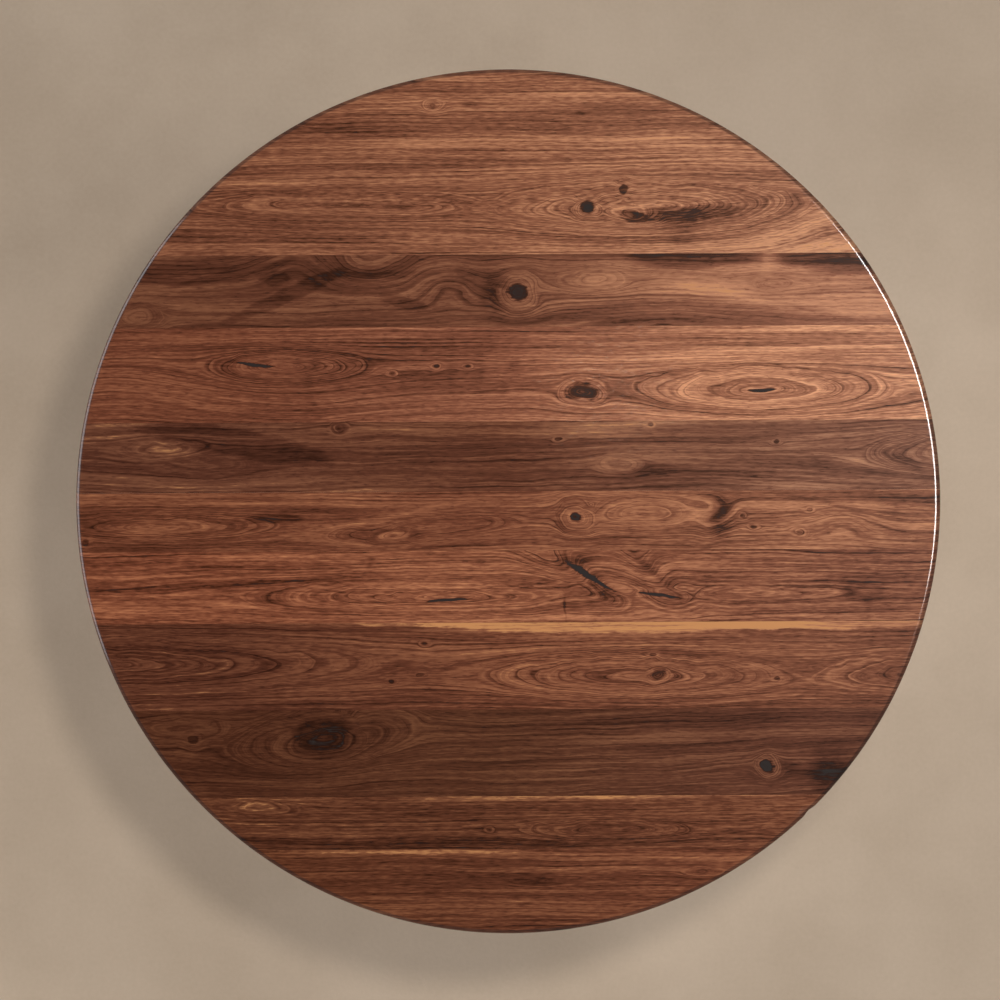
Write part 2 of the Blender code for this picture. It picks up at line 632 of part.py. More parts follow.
def make_legs(column):
    mesh = leg_mesh()
    rise = 0.0005  # the tail starts just above the leg's underside
    height = DOVETAIL_TOP - HUB_BOTTOM - rise
    tail_mesh = flat_mesh("tail", dovetail_outline(0), height)
    glide = turned("glide", [(0, GLIDE_HEIGHT), (GLIDE_RADIUS, GLIDE_HEIGHT), (GLIDE_RADIUS, 0.002),
                             (GLIDE_RADIUS - 0.0015, 0), (0, 0)], 20)
    glide_mesh = mesh_of(glide)
    screw = pan_screw_mesh("plate_screw", 0.002, 0.020, 0.004, 0.0024)
    plate_low = HUB_BOTTOM - GAP - PLATE_THICKNESS
    plate = turned("spider_plate", [(0, HUB_BOTTOM - GAP), (0.034, HUB_BOTTOM - GAP), (0.034, plate_low),
                                    (0, plate_low)], 24, STEEL)
    spots = [(0, 0, column, "plate_screw_centre")]
    for number in range(LEG_COUNT):
        angle, tag = leg_angle(number), number + 1
        ray = (math.cos(angle), math.sin(angle))
        leg = add_object(f"leg_{tag}", mesh, DARK_WALNUT, turn=(math.pi / 2, 0, angle))
        tail = as_cutter(add_object(f"tail_{tag}", tail_mesh, turn=(0, 0, angle),
                                    place=(0, 0, HUB_BOTTOM + rise + height / 2)))
        boolean(leg, tail, "UNION")
        add_object(f"foot_glide_{tag}", glide_mesh, NYLON, place=(GLIDE_R * ray[0], GLIDE_R * ray[1], 0))
        spots.append((PLATE_SCREW_R * ray[0], PLATE_SCREW_R * ray[1], leg, f"plate_screw_{tag}"))
    for number in range(LEG_COUNT // 2):
        arm = box_mesh(f"plate_arm_{number}", (2 * PLATE_ARM, PLATE_ARM_WIDTH, PLATE_THICKNESS))
        boolean(plate, as_cutter(add_object(
            f"plate_arm_{number}", arm, turn=(0, 0, leg_angle(number)),
            place=(0, 0, plate_low + PLATE_THICKNESS / 2))), "UNION")
    for x, y, wood, name in spots:
        add_object(name, screw, STEEL, place=(x, y, plate_low - GAP))
        hole = rod_cutter(name + "_hole", 0.0024, (x, y, plate_low - 0.004), 0.0245, segments=12)
        boolean(plate, hole)
        boolean(wood, hole)


boards = make_boards()
make_bearers(boards)
make_catch(boards)
block = make_block()
make_strike(block)
make_pivots(block)
column = make_column(block)
make_legs(column)
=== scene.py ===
import math

import bmesh
import bpy
from mathutils import Matrix, Vector


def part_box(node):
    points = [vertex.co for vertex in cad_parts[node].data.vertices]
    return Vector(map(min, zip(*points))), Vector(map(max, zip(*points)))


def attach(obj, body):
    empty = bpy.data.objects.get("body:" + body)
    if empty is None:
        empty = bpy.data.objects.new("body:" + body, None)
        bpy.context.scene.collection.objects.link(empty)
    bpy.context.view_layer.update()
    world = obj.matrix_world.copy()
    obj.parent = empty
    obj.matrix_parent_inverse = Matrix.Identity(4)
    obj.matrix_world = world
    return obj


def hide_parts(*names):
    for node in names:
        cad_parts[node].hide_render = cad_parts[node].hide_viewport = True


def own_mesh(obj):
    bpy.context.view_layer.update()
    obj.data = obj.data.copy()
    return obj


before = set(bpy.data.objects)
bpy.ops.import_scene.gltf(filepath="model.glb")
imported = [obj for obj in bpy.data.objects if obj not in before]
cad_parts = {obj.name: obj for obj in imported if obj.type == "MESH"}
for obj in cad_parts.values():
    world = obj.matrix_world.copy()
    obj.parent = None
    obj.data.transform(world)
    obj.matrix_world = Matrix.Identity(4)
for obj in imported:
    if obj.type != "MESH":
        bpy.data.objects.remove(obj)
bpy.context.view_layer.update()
scene = bpy.context.scene
scene.view_settings.view_transform = "Standard"

topLow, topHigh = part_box("top_board_05")
underside, tableHeight = topLow.z, topHigh.z
topRadius = topHigh.x
print("frame loaded:", len(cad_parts), "pieces")


# small helpers for node trees: a value is a number, a colour or another node's output
def plug(tree, socket, value):
    if isinstance(value, bpy.types.NodeSocket):
        tree.links.new(value, socket)
    elif value is not None:
        socket.default_value = value


def put(tree, kind, values=None, **settings):
    node = tree.nodes.new(kind)
    for name, value in settings.items():
        setattr(node, name, value)
    for name, value in (values or {}).items():
        plug(tree, node.inputs[name], value)
    return node


def calc(tree, operation, a, b=None, c=None, clamp=False):
    node = put(tree, "ShaderNodeMath", operation=operation, use_clamp=clamp)
    for socket, value in zip(node.inputs, (a, b, c)):
        plug(tree, socket, value)
    return node.outputs[0]


def plus(tree, a, b):
    return calc(tree, "ADD", a, b)


def minus(tree, a, b, clamp=False):
    return calc(tree, "SUBTRACT", a, b, clamp=clamp)


def times(tree, a, b, clamp=False):
    return calc(tree, "MULTIPLY", a, b, clamp=clamp)


def timesPlus(tree, a, b, c, clamp=False):
    return calc(tree, "MULTIPLY_ADD", a, b, c, clamp)


def fade(tree, value, start, end, low=0.0, high=1.0):
    node = put(tree, "ShaderNodeMapRange", {"Value": value, "From Min": start, "From Max": end,
                                            "To Min": low, "To Max": high}, interpolation_type="SMOOTHSTEP")
    return node.outputs["Result"]


def noise(tree, vector, scale=1.0, detail=2.0, roughness=0.5):
    return put(tree, "ShaderNodeTexNoise", {"Vector": vector, "Scale": scale, "Detail": detail,
                                            "Roughness": roughness})


def stretched(tree, x, y, z=0.0):
    return put(tree, "ShaderNodeCombineXYZ", {"X": x, "Y": y, "Z": z}).outputs[0]


def parts(tree, vector):
    return put(tree, "ShaderNodeSeparateXYZ", {0: vector}).outputs


def vectorCalc(tree, operation, a, b):
    return put(tree, "ShaderNodeVectorMath", {0: a, 1: b}, operation=operation).outputs[0]


def mixed(tree, factor, a, b, blend="MIX"):
    node = put(tree, "ShaderNodeMix", data_type="RGBA", blend_type=blend, clamp_factor=True)
    plug(tree, node.inputs[0], factor)
    plug(tree, node.inputs[6], a)
    plug(tree, node.inputs[7], b)
    return node.outputs[2]


def newGroup(name, kind, inputs, outputs):
    tree = bpy.data.node_groups.new(name, kind)
    for title, socketKind, value in inputs:
        socket = tree.interface.new_socket(title, in_out="INPUT", socket_type="NodeSocket" + socketKind)
        if value is not None:
            socket.default_value = value
    for title, socketKind in outputs:
        tree.interface.new_socket(title, in_out="OUTPUT", socket_type="NodeSocket" + socketKind)
    return tree, put(tree, "NodeGroupInput").outputs, put(tree, "NodeGroupOutput").inputs


def newMaterial(name):
    material = bpy.data.materials.new(name)
    material.use_nodes = True
    return material, material.node_tree, material.node_tree.nodes["Principled BSDF"]


def bumped(tree, shader, height, distance, strength):
    bump = put(tree, "ShaderNodeBump", {"Height": height, "Distance": distance, "Strength": strength})
    plug(tree, shader.inputs["Normal"], bump.outputs[0])


def endTree(tree, geometry, finish, made):
    real = put(tree, "GeometryNodeRealizeInstances", {"Geometry": geometry})
    finished = put(tree, "GeometryNodeSetMaterial", {"Geometry": real.outputs[0], "Material": finish})
    plug(tree, made, finished.outputs[0])
    return tree


def linear(red, green, blue):
    return [((c / 255 + 0.055) / 1.055) ** 2.4 if c > 10 else c / 3295 for c in (red, green, blue)] + [1]


# walnut: the grain is a field of lines, bent by each mark in the board
def makeGrainLines():
    tree, given, made = newGroup(
        "grainLines", "ShaderNodeTree",
        [("Place", "Vector", None), ("Seed", "Float", 0.0), ("Sway", "Float", 0.02), ("Wander", "Float", 0.010)],
        [("Point", "Vector"), ("Lines", "Float"), ("Ragged", "Float")])
    x, y, z = parts(tree, given["Place"])
    seed = given["Seed"]
    slow = noise(tree, stretched(tree, times(tree, x, 1.3), times(tree, y, 3.5), timesPlus(tree, z, 2.0, seed)),
                 detail=1.0)
    quick = noise(tree, stretched(tree, times(tree, x, 7.0), times(tree, y, 22.0), timesPlus(tree, z, 6.0, seed)),
                  detail=3.0)
    lines = timesPlus(tree, minus(tree, slow.outputs[0], 0.5), given["Sway"], y)
    lines = timesPlus(tree, minus(tree, quick.outputs[0], 0.5), given["Wander"], lines)
    lines = timesPlus(tree, z, 0.35, lines)
    # frays the outlines of hearts and stains
    ragged = noise(tree, stretched(tree, times(tree, x, 70.0), times(tree, y, 230.0), seed),
                   detail=3.0, roughness=0.65)
    plug(tree, made["Ragged"], timesPlus(tree, ragged.outputs[0], 2.0, -1.0))
    shake = noise(tree, given["Place"], scale=26.0, detail=2.0)
    shake = vectorCalc(tree, "SUBTRACT", shake.outputs[1], (0.5, 0.5, 0.5))
    shake = vectorCalc(tree, "MULTIPLY", shake, (0.020, 0.008, 0.0))
    plug(tree, made["Point"], vectorCalc(tree, "ADD", given["Place"], shake))
    plug(tree, made["Lines"], lines)
    return tree


def makeFigureMark():
    tree, given, made = newGroup(
        "figureMark", "ShaderNodeTree",
        [("Point", "Vector", None), ("Lines", "Float", 0.0), ("Ragged", "Float", 0.0), ("Tone", "Float", 0.0),
         ("At", "Vector", None),
         ("Reach X", "Float", 0.02), ("Reach Y", "Float", 0.01), ("Slope", "Float", 0.0), ("Lift", "Float", 0.0),
         ("Part", "Float", 0.0), ("Core", "Float", 0.0001), ("Stain", "Float", 0.0), ("Ring", "Float", 0.0),
         ("Shade", "Float", 0.0), ("Fray", "Float", 1.0)],
        [("Lines", "Float"), ("Tone", "Float")])
    x, y, _ = parts(tree, vectorCalc(tree, "SUBTRACT", given["Point"], given["At"]))
    y = minus(tree, y, times(tree, x, given["Slope"]))
    u = calc(tree, "DIVIDE", x, given["Reach X"])
    v = calc(tree, "DIVIDE", y, given["Reach Y"])
    far = timesPlus(tree, v, v, times(tree, u, u))
    near = calc(tree, "EXPONENT", times(tree, far, -1.0))
    cone = minus(tree, 1.0, calc(tree, "SQRT", far), clamp=True)  # even rings, where near gives soft arcs
    part = given["Part"]
    bump = timesPlus(tree, part, minus(tree, cone, near), near)
    lines = timesPlus(tree, given["Lift"], bump, given["Lines"])
    aside = calc(tree, "DIVIDE", y, calc(tree, "MAXIMUM", times(tree, far, far), 1.0))
    plug(tree, made["Lines"], minus(tree, lines, times(tree, part, aside)))
    core = given["Core"]
    far = timesPlus(tree, far, times(tree, given["Ragged"], given["Fray"]), far)
    heart = fade(tree, far, times(tree, core, 1.35), times(tree, core, 0.55))
    collar = fade(tree, far, times(tree, core, 4.5), times(tree, core, 2.0))  # the pale ring round the heart
    broken = times(tree, given["Shade"], timesPlus(tree, given["Ragged"], 0.8, 1.0))
    tone = timesPlus(tree, broken, near, given["Tone"])
    tone = timesPlus(tree, given["Stain"], heart, tone)
    collar = minus(tree, collar, heart)
    plug(tree, made["Tone"], minus(tree, tone, times(tree, collar, given["Ring"])))
    return tree


def makeWalnutTone():
    tree, given, made = newGroup(
        "walnutTone", "ShaderNodeTree",
        [("Place", "Vector", None), ("Lines", "Float", 0.0), ("Tone", "Float", 0.0), ("Seed", "Float", 0.0),
         ("Bands", "Float", 0.9), ("Rings", "Float", 0.5), ("Ring Gap", "Float", 0.0062), ("Fibre", "Float", 0.5),
         ("Pores", "Float", 0.55)],
        [("Tone", "Float"), ("Pores", "Float"), ("Height", "Float")])
    x, y, _ = parts(tree, given["Place"])
    lines, seed = given["Lines"], given["Seed"]
    grain = timesPlus(tree, y, 0.9, times(tree, lines, 0.1))  # fibres bend less than rings do

    def along(alongScale, acrossScale, shift, detail, roughness=0.5, field=lines):
        place = stretched(tree, times(tree, x, alongScale), times(tree, field, acrossScale),
                          plus(tree, seed, shift))
        return noise(tree, place, detail=detail, roughness=roughness).outputs[0]

    bands = minus(tree, along(1.6, 32.0, 0.0, 2.0, 0.6), 0.5)
    tongues = minus(tree, along(6.0, 75.0, 21.0, 2.0, 0.55), 0.5)
    growth = minus(tree, along(3.0, 230.0, 3.0, 2.0, 0.65), 0.5)
    fibre = minus(tree, along(4.0, 430.0, 6.0, 3.0, 0.75, grain), 0.5)
    strands = minus(tree, along(2.0, 330.0, 27.0, 3.0, 0.7), 0.5)
    speckle = minus(tree, along(75.0, 560.0, 18.0, 1.0, 0.5, grain), 0.5)
    drift = times(tree, along(1.2, 16.0, 12.0, 1.0), 5.0)
    turns = plus(tree, calc(tree, "DIVIDE", lines, given["Ring Gap"]), drift)
    saw = calc(tree, "FRACT", turns)
    count = calc(tree, "FLOOR", turns)
    strength = noise(tree, stretched(tree, times(tree, x, 3.0), times(tree, count, 3.7), seed),
                     detail=1.0).outputs[0]
    edge = times(tree, fade(tree, saw, 0.50, 0.92), fade(tree, saw, 1.0, 0.93))
    edge = times(tree, edge, fade(tree, strength, 0.36, 0.66))
    pores = fade(tree, along(110.0, 600.0, 9.0, 1.0, 0.5, grain), 0.60, 0.70)
    tone = given["Tone"]
    for pattern, amount, weight in ((bands, "Bands", 3.6), (tongues, "Bands", 2.6), (growth, "Bands", 2.4),
                                    (fibre, "Fibre", 4.4), (strands, "Fibre", 6.2), (speckle, "Fibre", 5.0)):
        tone = timesPlus(tree, pattern, times(tree, given[amount], weight), tone)
    tone = timesPlus(tree, minus(tree, edge, 0.12), given["Rings"], tone)
    tone = timesPlus(tree, minus(tree, pores, 0.12), given["Pores"], tone)
    height = timesPlus(tree, fibre, 0.35, times(tree, pores, -1.0))
    plug(tree, made["Tone"], tone)
    plug(tree, made["Pores"], pores)
    plug(tree, made["Height"], height)
    return tree


grainLines = makeGrainLines()
figureMark = makeFigureMark()
walnutTone = makeWalnutTone()

mm = 0.001
markKinds = dict(
    streak=dict(), flame=dict(lift=15, part=0.9), arcs=dict(lift=30),
    sapwood=dict(core=0.8, stain=-2.2, fray=0.5),
    tongue=dict(core=1.0, stain=1.1, fray=0.4), slit=dict(core=0.8, stain=3.4, fray=0.5),
    eye=dict(lift=16, part=0.7, core=0.12, stain=0.5, ring=0.25),
    knot=dict(lift=35, part=0.9, core=0.25, stain=2.7, ring=0.45, shade=0.3),
    pin=dict(reach=(8, 5), lift=6, part=0.8, core=0.22, stain=1.4, ring=0.2),
    tick=dict(reach=(7, 2.2), shade=0.9))
finishLooks = dict(
    darkest=(0.22, 0.18, 0.13, 1), lightest=(2.25, 2.75, 2.7, 1),  # times the board's own colour
    knotBlack=(0.032, 0.026, 0.025, 1), sapwood=linear(208, 150, 98),
    # the rim values darken the rounded board edges as painted shade
    oilTint=(1.0, 0.955, 0.895, 1), paintedRimShade=0.52, paintedRimShadeFrom=0.0058, paintedRimShadeTo=0.0040,
    toneStops=(0.17, 0.5, 0.83), poreDepth=0.00015, poreStrength=0.35, gloss=0.03, coatRoughness=0.12)


def walnut(name, tonesAndPaintedLight, seed, marks=None, turn=(0, 0, 0), sway=0.02, wander=0.010, bands=0.9, rings=1.1,
           fibre=0.5, span=0.5335, roughness=0.42, coat=0.6, edge=False):
    material, tree, shader = newMaterial(name)
    place = put(tree, "ShaderNodeTexCoord").outputs["Object"]
    if any(turn):
        place = put(tree, "ShaderNodeMapping", {"Vector": place, "Rotation": turn}).outputs[0]
    lines = put(tree, "ShaderNodeGroup", {"Place": place, "Seed": seed, "Sway": sway, "Wander": wander},
                node_tree=grainLines).outputs
    line, tone = lines["Lines"], 0.0
    for kind, x, y, *rest in [(kind, *spot) for kind, spots in (marks or {}).items() for spot in spots]:
        values = dict(markKinds[kind])
        if len(rest) > 1:
            values["reach"] = rest[:2]
        if len(rest) % 2:
            values.update(rest[-1] if isinstance(rest[-1], dict) else {"shade": rest[-1]})
        reachX, reachY = values.pop("reach")
        mark = put(tree, "ShaderNodeGroup", {
            "Point": lines["Point"], "Lines": line, "Tone": tone, "Ragged": lines["Ragged"],
            "At": (x * mm, y * mm, 0), "Reach X": reachX * mm, "Reach Y": reachY * mm}, node_tree=figureMark)
        for title, value in values.items():
            mark.inputs[title.capitalize()].default_value = value * (mm if title == "lift" else 1)
        line, tone = mark.outputs
    surface = put(tree, "ShaderNodeGroup", {
        "Place": place, "Lines": line, "Tone": tone, "Seed": seed, "Bands": bands, "Rings": rings,
        "Fibre": fibre}, node_tree=walnutTone).outputs
    x, y, _ = parts(tree, place)
    # partly painted light: each board's colour runs from left to right, partly its own tone and partly light,
    # brighter towards the right and on the back boards
    toneAndLightSweep = put(tree, "ShaderNodeMapRange", {"Value": x, "From Min": -span, "From Max": span}).outputs[0]
    ramp = put(tree, "ShaderNodeValToRGB", {"Fac": toneAndLightSweep}).color_ramp
    while len(ramp.elements) < len(tonesAndPaintedLight):
        ramp.elements.new(0.5)
    for element, stop, colour in zip(ramp.elements, finishLooks["toneStops"], tonesAndPaintedLight):
        element.position = stop
        element.color = linear(*colour)
    base = ramp.id_data.nodes["Color Ramp"].outputs[0]
    total = surface["Tone"]
    dark = mixed(tree, 1.0, base, finishLooks["darkest"], "MULTIPLY")
    light = mixed(tree, 1.0, base, finishLooks["lightest"], "MULTIPLY")
    colour = mixed(tree, times(tree, total, 0.55, clamp=True), base, dark)
    colour = mixed(tree, times(tree, total, -0.55, clamp=True), colour, light)
    black = timesPlus(tree, total, 0.7, -1.15, clamp=True)
    colour = mixed(tree, black, colour, finishLooks["knotBlack"])
    gold = times(tree, timesPlus(tree, total, -0.8, -1.25, clamp=True), 0.86)
    colour = mixed(tree, gold, colour, finishLooks["sapwood"])
    if edge:  # painted shade: the rounded rim is darkened where it turns away from the light
        radius = calc(tree, "SQRT", timesPlus(tree, x, x, times(tree, y, y)))
        shade = fade(tree, radius, topRadius - finishLooks["paintedRimShadeFrom"], topRadius - finishLooks["paintedRimShadeTo"],
                     1.0, finishLooks["paintedRimShade"])
        colour = mixed(tree, 1.0, colour, stretched(tree, shade, shade, shade), "MULTIPLY")
    plug(tree, shader.inputs["Base Color"], mixed(tree, 1.0, colour, finishLooks["oilTint"], "MULTIPLY"))
    plug(tree, shader.inputs["Roughness"], timesPlus(tree, surface["Pores"], 0.2, roughness))
    bumped(tree, shader, surface["Height"], finishLooks["poreDepth"], finishLooks["poreStrength"])
    shader.inputs["Specular IOR Level"].default_value = finishLooks["gloss"]
    shader.inputs["Coat Weight"].default_value = coat
    shader.inputs["Coat Roughness"].default_value = finishLooks["coatRoughness"]
    return material


# the ten boards, from the back edge to the front edge; a mark is x, y, its reach each way, then its
# shade or its other values, with every length in millimetres
# each board's three colours, left, middle and right, hold its own tone together with painted light that is brighter
# towards the right and the back
boardLooks = {
    "top_board_01": dict(
        tonesAndPaintedLight=((120, 73, 53), (141, 90, 67), (154, 102, 78)),
        seed=1.0, sway=0.03, fibre=0.62, marks=dict(
            eye=[(-89, 488, 16, 8)],
            tick=[(-42, 489, 12, 5), (32, 371), (65, 425), (96, 478)],
            streak=[(-175, 452.5, 55, 5, 0.6), (-275, 367, 30, 4, 0.6), (-200, 393, 200, 3, -0.6),
                    (-150, 307, 300, 3, -0.5), (218, 332, 20, 18, 0.8),
                    (385, 312, 70, 8, dict(shade=-1, slope=0.1)),
                    (340, 325, 60, 7, dict(shade=-0.7, slope=0.3))],
            flame=[(-200, 366, 200, 18, dict(lift=50)), (-109, 362.5, 60, 9, dict(lift=14, shade=0.2)),
                   (170, 362, 210, 34, dict(lift=95))],
            arcs=[(440, 338, 120, 46, dict(lift=-36))],
            knot=[(100, 362.5, 21, 17, dict(stain=2.2, shade=0.9)),
                  (158, 350, 38, 13, dict(slope=-0.12, stain=1.4, shade=0.7))],
            pin=[(144, 385, 12, 13, dict(stain=1.8, shade=0.5, slope=0.5))],
            tongue=[(150, 352, 8.5, 3.5, dict(stain=-1.1, fray=0.8)),
                    (205, 353, 40, 10, dict(stain=0.9, shade=0.9, fray=1.4)),
                    (255, 356, 32, 10, dict(slope=0.12, stain=0.8, shade=0.8, fray=1.4))])),
    "top_board_02": dict(
        tonesAndPaintedLight=((95, 55, 39), (117, 72, 53), (148, 96, 74)),
        seed=2.3, sway=0.06, wander=0.016, bands=1.0, fibre=0.34, marks=dict(
            arcs=[(-263, 296, 50, 34, dict(lift=-26)), (-168, 297, 44, 30, dict(lift=30)),
                  (-75, 270, 36, 26, dict(lift=-22)), (190, 222, 130, 20, dict(lift=-14))],
            tongue=[(-270, 256, 78, 10, dict(slope=0.42, stain=0.9)),
                    (-340, 282, 80, 6, dict(slope=0.22, stain=0.7, fray=0.2)),
                    (-285, 277, 20, 10, dict(stain=0.8, fray=0.9)),
                    (-130, 247, 30, 8, dict(stain=0.9, fray=0.9, slope=-0.2)),
                    (228, 304.5, 80, 19, dict(stain=1.3, fray=0.2, shade=0.5)),
                    (420, 304.5, 88, 26, dict(stain=1.3, fray=0.2, slope=-0.03, shade=0.5))],
            streak=[(-170, 281, 70, 6, 0.9), (-48, 277, 22, 14, 0.8), (-16, 260, 16, 26, 1.5),
                    (320, 297, 9, 16, -0.9), (260, 262, 90, 12, -0.5),
                    (300, 250, 100, 6, dict(slope=-0.21, shade=-0.9)),
                    (360, 238, 60, 4, dict(slope=-0.25, shade=0.9)), (150, 222, 150, 6, 0.9)],
            flame=[(-457.5, 228, 36, 18, dict(lift=20, shade=-0.3)),
                   (106, 272, 46, 14, dict(lift=16, shade=-0.8)),
                   (327, 267.5, 26, 9, dict(lift=12, shade=0.3))],
            tick=[(-379, 265)],
            knot=[(13.5, 258, 25, 25, dict(stain=2.4, ring=0.8, core=0.2))])),
    "top_board_03": dict(
        tonesAndPaintedLight=((115, 66, 47), (138, 85, 64), (173, 116, 89)),
        seed=3.1, sway=0.02, rings=1.25, marks=dict(
            arcs=[(-480, 140, 90, 40, dict(lift=-16)), (-260, 120, 120, 36, dict(lift=12))],
            flame=[(-275, 168, 105, 21, dict(lift=60)), (314, 135.5, 165, 32, dict(lift=80, part=0.8))],
            streak=[(-247, 166, 30, 8, 0.6), (-243, 160, 7, 50, 0.25), (-66, 160, 6, 50, 0.25),
                    (-36, 160, 6, 50, 0.22), (11, 170, 8, 12, 0.5), (385, 212, 110, 4, -0.7)],
            slit=[(-313, 170, 26, 2.2, dict(slope=-0.12)), (311, 135.5, 18, 2.4, dict(slope=-0.03))],
            pin=[(-142, 158), (-87.5, 166.5), (-49, 166.5)],
            tick=[(-240, 122), (249, 129.5), (205, 155), (245, 159), (332, 166.5)],
            knot=[(92.5, 135.5, 30, 17, dict(core=0.4, stain=2.2))])),
    "top_board_04": dict(
        tonesAndPaintedLight=((88, 50, 36), (101, 59, 42), (130, 85, 66)),
        seed=4.7, sway=0.04, wander=0.016, bands=1.05, fibre=0.4, marks=dict(
            tongue=[(-340, 74, 120, 18, dict(slope=-0.18, stain=1.2))],
            flame=[(-420, 66, 60, 14, dict(lift=14, shade=-0.25)),
                   (-370, 45, 60, 12, dict(lift=12, shade=-0.3)), (140, 44, 34, 12, -0.5),
                   (560, 58, 125, 26, dict(lift=75))],
            streak=[(-458, 96.5, 70, 3, -0.9), (-212, 14.5, 80, 3, -0.8), (170, 36, 34, 8, 1.2),
                    (488, 46, 40, 6, dict(slope=-0.45, shade=0.9)), (425, 48, 24, 10, -0.7)],
            pin=[(-206, 91, 12, 9), (175, 94), (63, 75), (329, 71.5)])),
    "top_board_05": dict(
        tonesAndPaintedLight=((110, 63, 44), (114, 66, 47), (142, 90, 67)),
        seed=5.2, sway=0.025, bands=1.15, marks=dict(
            tongue=[(-287, -20.5, 36, 6.2, dict(stain=1, shade=0.8, fray=0.5))],
            streak=[(-487, -26, 35, 4, 0.8), (-453.5, -39.5, 40, 6, -0.8),
                    (-118, -12, 110, 4, dict(slope=0.2, shade=-0.7)), (70, -30, 16, 10, 0.7),
                    (117, -48, 42, 6, 0.8), (263, -20, 14, 30, 0.9), (265, -36, 8, 10, 0.8),
                    (392, -4, 80, 4, dict(slope=-0.23, shade=0.8)), (477, -20, 10, 24, 0.5)],
            pin=[(-520, -49, 10, 9), (291, -20), (302, -33), (359, -41, 13, 7), (370, -12)],
            eye=[(-143.5, -42.5, 34, 10, dict(lift=20, core=0.45, stain=-0.4, ring=-0.5, fray=0.3))],
            flame=[(-430, -30, 150, 18, dict(lift=45)), (-115, -34, 120, 15, dict(lift=32, slope=0.08)),
                   (170, -16, 80, 22, dict(lift=30, shade=-0.2))],
            arcs=[(258, -24, 22, 20, dict(lift=20, slope=0.6)), (415, -26, 45, 18, dict(lift=-20))],
            knot=[(84, -18.5, 24, 22, dict(core=0.05, stain=2.4))])),
    "top_board_06": dict(
        tonesAndPaintedLight=((123, 70, 49), (137, 83, 60), (129, 79, 59)),
        seed=6.4, sway=0.03, wander=0.014, rings=1.5, fibre=0.62, marks=dict(
            flame=[(-85, -118, 250, 24, dict(lift=65)), (300, -115, 150, 10, dict(lift=20, shade=-0.4))],
            slit=[(-75, -122, 28, 2.2, dict(slope=0.06)), (100, -93.5, 32, 3.8, dict(slope=-0.6, fray=1.2)),
                  (90, -87, 20, 5.6, dict(slope=-0.55, fray=1.5)), (185, -117, 30, 2.4, dict(slope=-0.1))],
            streak=[(-258, -95, 140, 4, dict(slope=0.05, shade=0.8)),
                    (82, -73, 26, 10, dict(shade=1.4, slope=0.1)),
                    (118, -108, 20, 8, dict(slope=-0.3, shade=0.9)),
                    (180, -88, 30, 6, dict(shade=1, slope=-0.9)),
                    (130, -119, 46, 5, dict(shade=0.9, slope=-0.15)), (20.5, -104, 42, 3, 0.9),
                    (71.5, -132, 1.5, 13, 1.4)],
            tick=[(-171, -76.5, 3, 7)],
            arcs=[(60, -80, 46, 20, dict(lift=34, slope=-0.5)),
                  (135, -108, 40, 16, dict(lift=-26, slope=-0.5)),
                  (172, -86, 34, 22, dict(lift=22, slope=-0.8)),
                  (222, -112, 30, 14, dict(lift=-12, slope=-0.6))],
            tongue=[(440, -113, 28, 13, dict(stain=0.5, shade=0.5, fray=0.6))])),
    "top_board_07": dict(
        tonesAndPaintedLight=((83, 45, 31), (112, 65, 46), (129, 79, 58)),
        seed=7.7, sway=0.02, bands=0.95, rings=1.4, fibre=0.52, marks=dict(
            sapwood=[(130, -150, 260, 14, dict(stain=-2.35)), (420, -150, 220, 10),
                     (-120, -149.7, 110, 4.2, dict(stain=-1.9))],
            streak=[(-350, -152, 120, 2, -0.7), (-410, -254.5, 70, 3, -0.9)],
            flame=[(-520, -200, 360, 36, dict(lift=90)), (160, -216, 200, 30, dict(lift=85)),
                   (540, -215, 170, 28, dict(lift=60))],
            pin=[(-102.5, -174), (-143, -222), (-112, -212), (175, -191), (331.5, -219.5)],
            eye=[(182, -213.5, 16, 14, dict(lift=30, core=0.3, stain=0.9))],
            tick=[(339, -182.5), (481, -163)])),
    "top_board_08": dict(
        tonesAndPaintedLight=((78, 43, 28), (89, 52, 35), (101, 60, 44)),
        seed=8.9, sway=0.05, wander=0.018, bands=0.95, fibre=0.42, marks=dict(
            flame=[(-230, -290, 118, 34, dict(slope=0.12, lift=55, shade=0.3)), (-397, -277.5, 55, 14, -0.5)],
            knot=[(-233, -287, 52, 32, dict(core=0.42, stain=0.75, lift=12, ring=0.3, fray=0.6)),
                  (320, -329, 16, 16)],
            tongue=[(-212, -277, 20, 10, dict(stain=0.45, fray=0.9)),
                    (-238, -303, 30, 7, dict(stain=0.45, fray=0.9, slope=0.1))],
            pin=[(-392, -291, 13, 10)],
            streak=[(-397, -313, 22, 10, -0.6), (-390, -351, 16, 7, -0.6), (343, -329, 12, 9, 0.9),
                    (394.5, -335, 26, 24, 2)])),
    "top_board_09": dict(
        tonesAndPaintedLight=((85, 47, 31), (97, 56, 38), (116, 69, 49)),
        seed=9.6, sway=0.02, bands=0.75, fibre=0.66, marks=dict(
            streak=[(83, -364.5, 240, 3.6, -2), (0, -420, 400, 7, 0.6)],
            flame=[(-312, -377, 60, 10, dict(lift=10, shade=-0.5)), (120, -405.5, 110, 14, dict(lift=35)),
                   (400, -405.5, 90, 12, dict(lift=18))],
            pin=[(-28, -404.5)])),
    "top_board_10": dict(
        tonesAndPaintedLight=((90, 50, 32), (100, 57, 39), (117, 68, 48)),
        seed=10.8, sway=0.02, bands=0.7, fibre=0.58, marks=dict(
            streak=[(-130, -430.5, 170, 4, dict(core=0.9, stain=-1.1)), (-94, -480, 16, 6, 0.6),
                    (50, -478.5, 200, 2.5, -0.5)],
            flame=[(36, -468.5, 40, 6, dict(lift=8, shade=0.6)),
                   (236.5, -457.5, 28, 6, dict(lift=6, shade=0.6))],
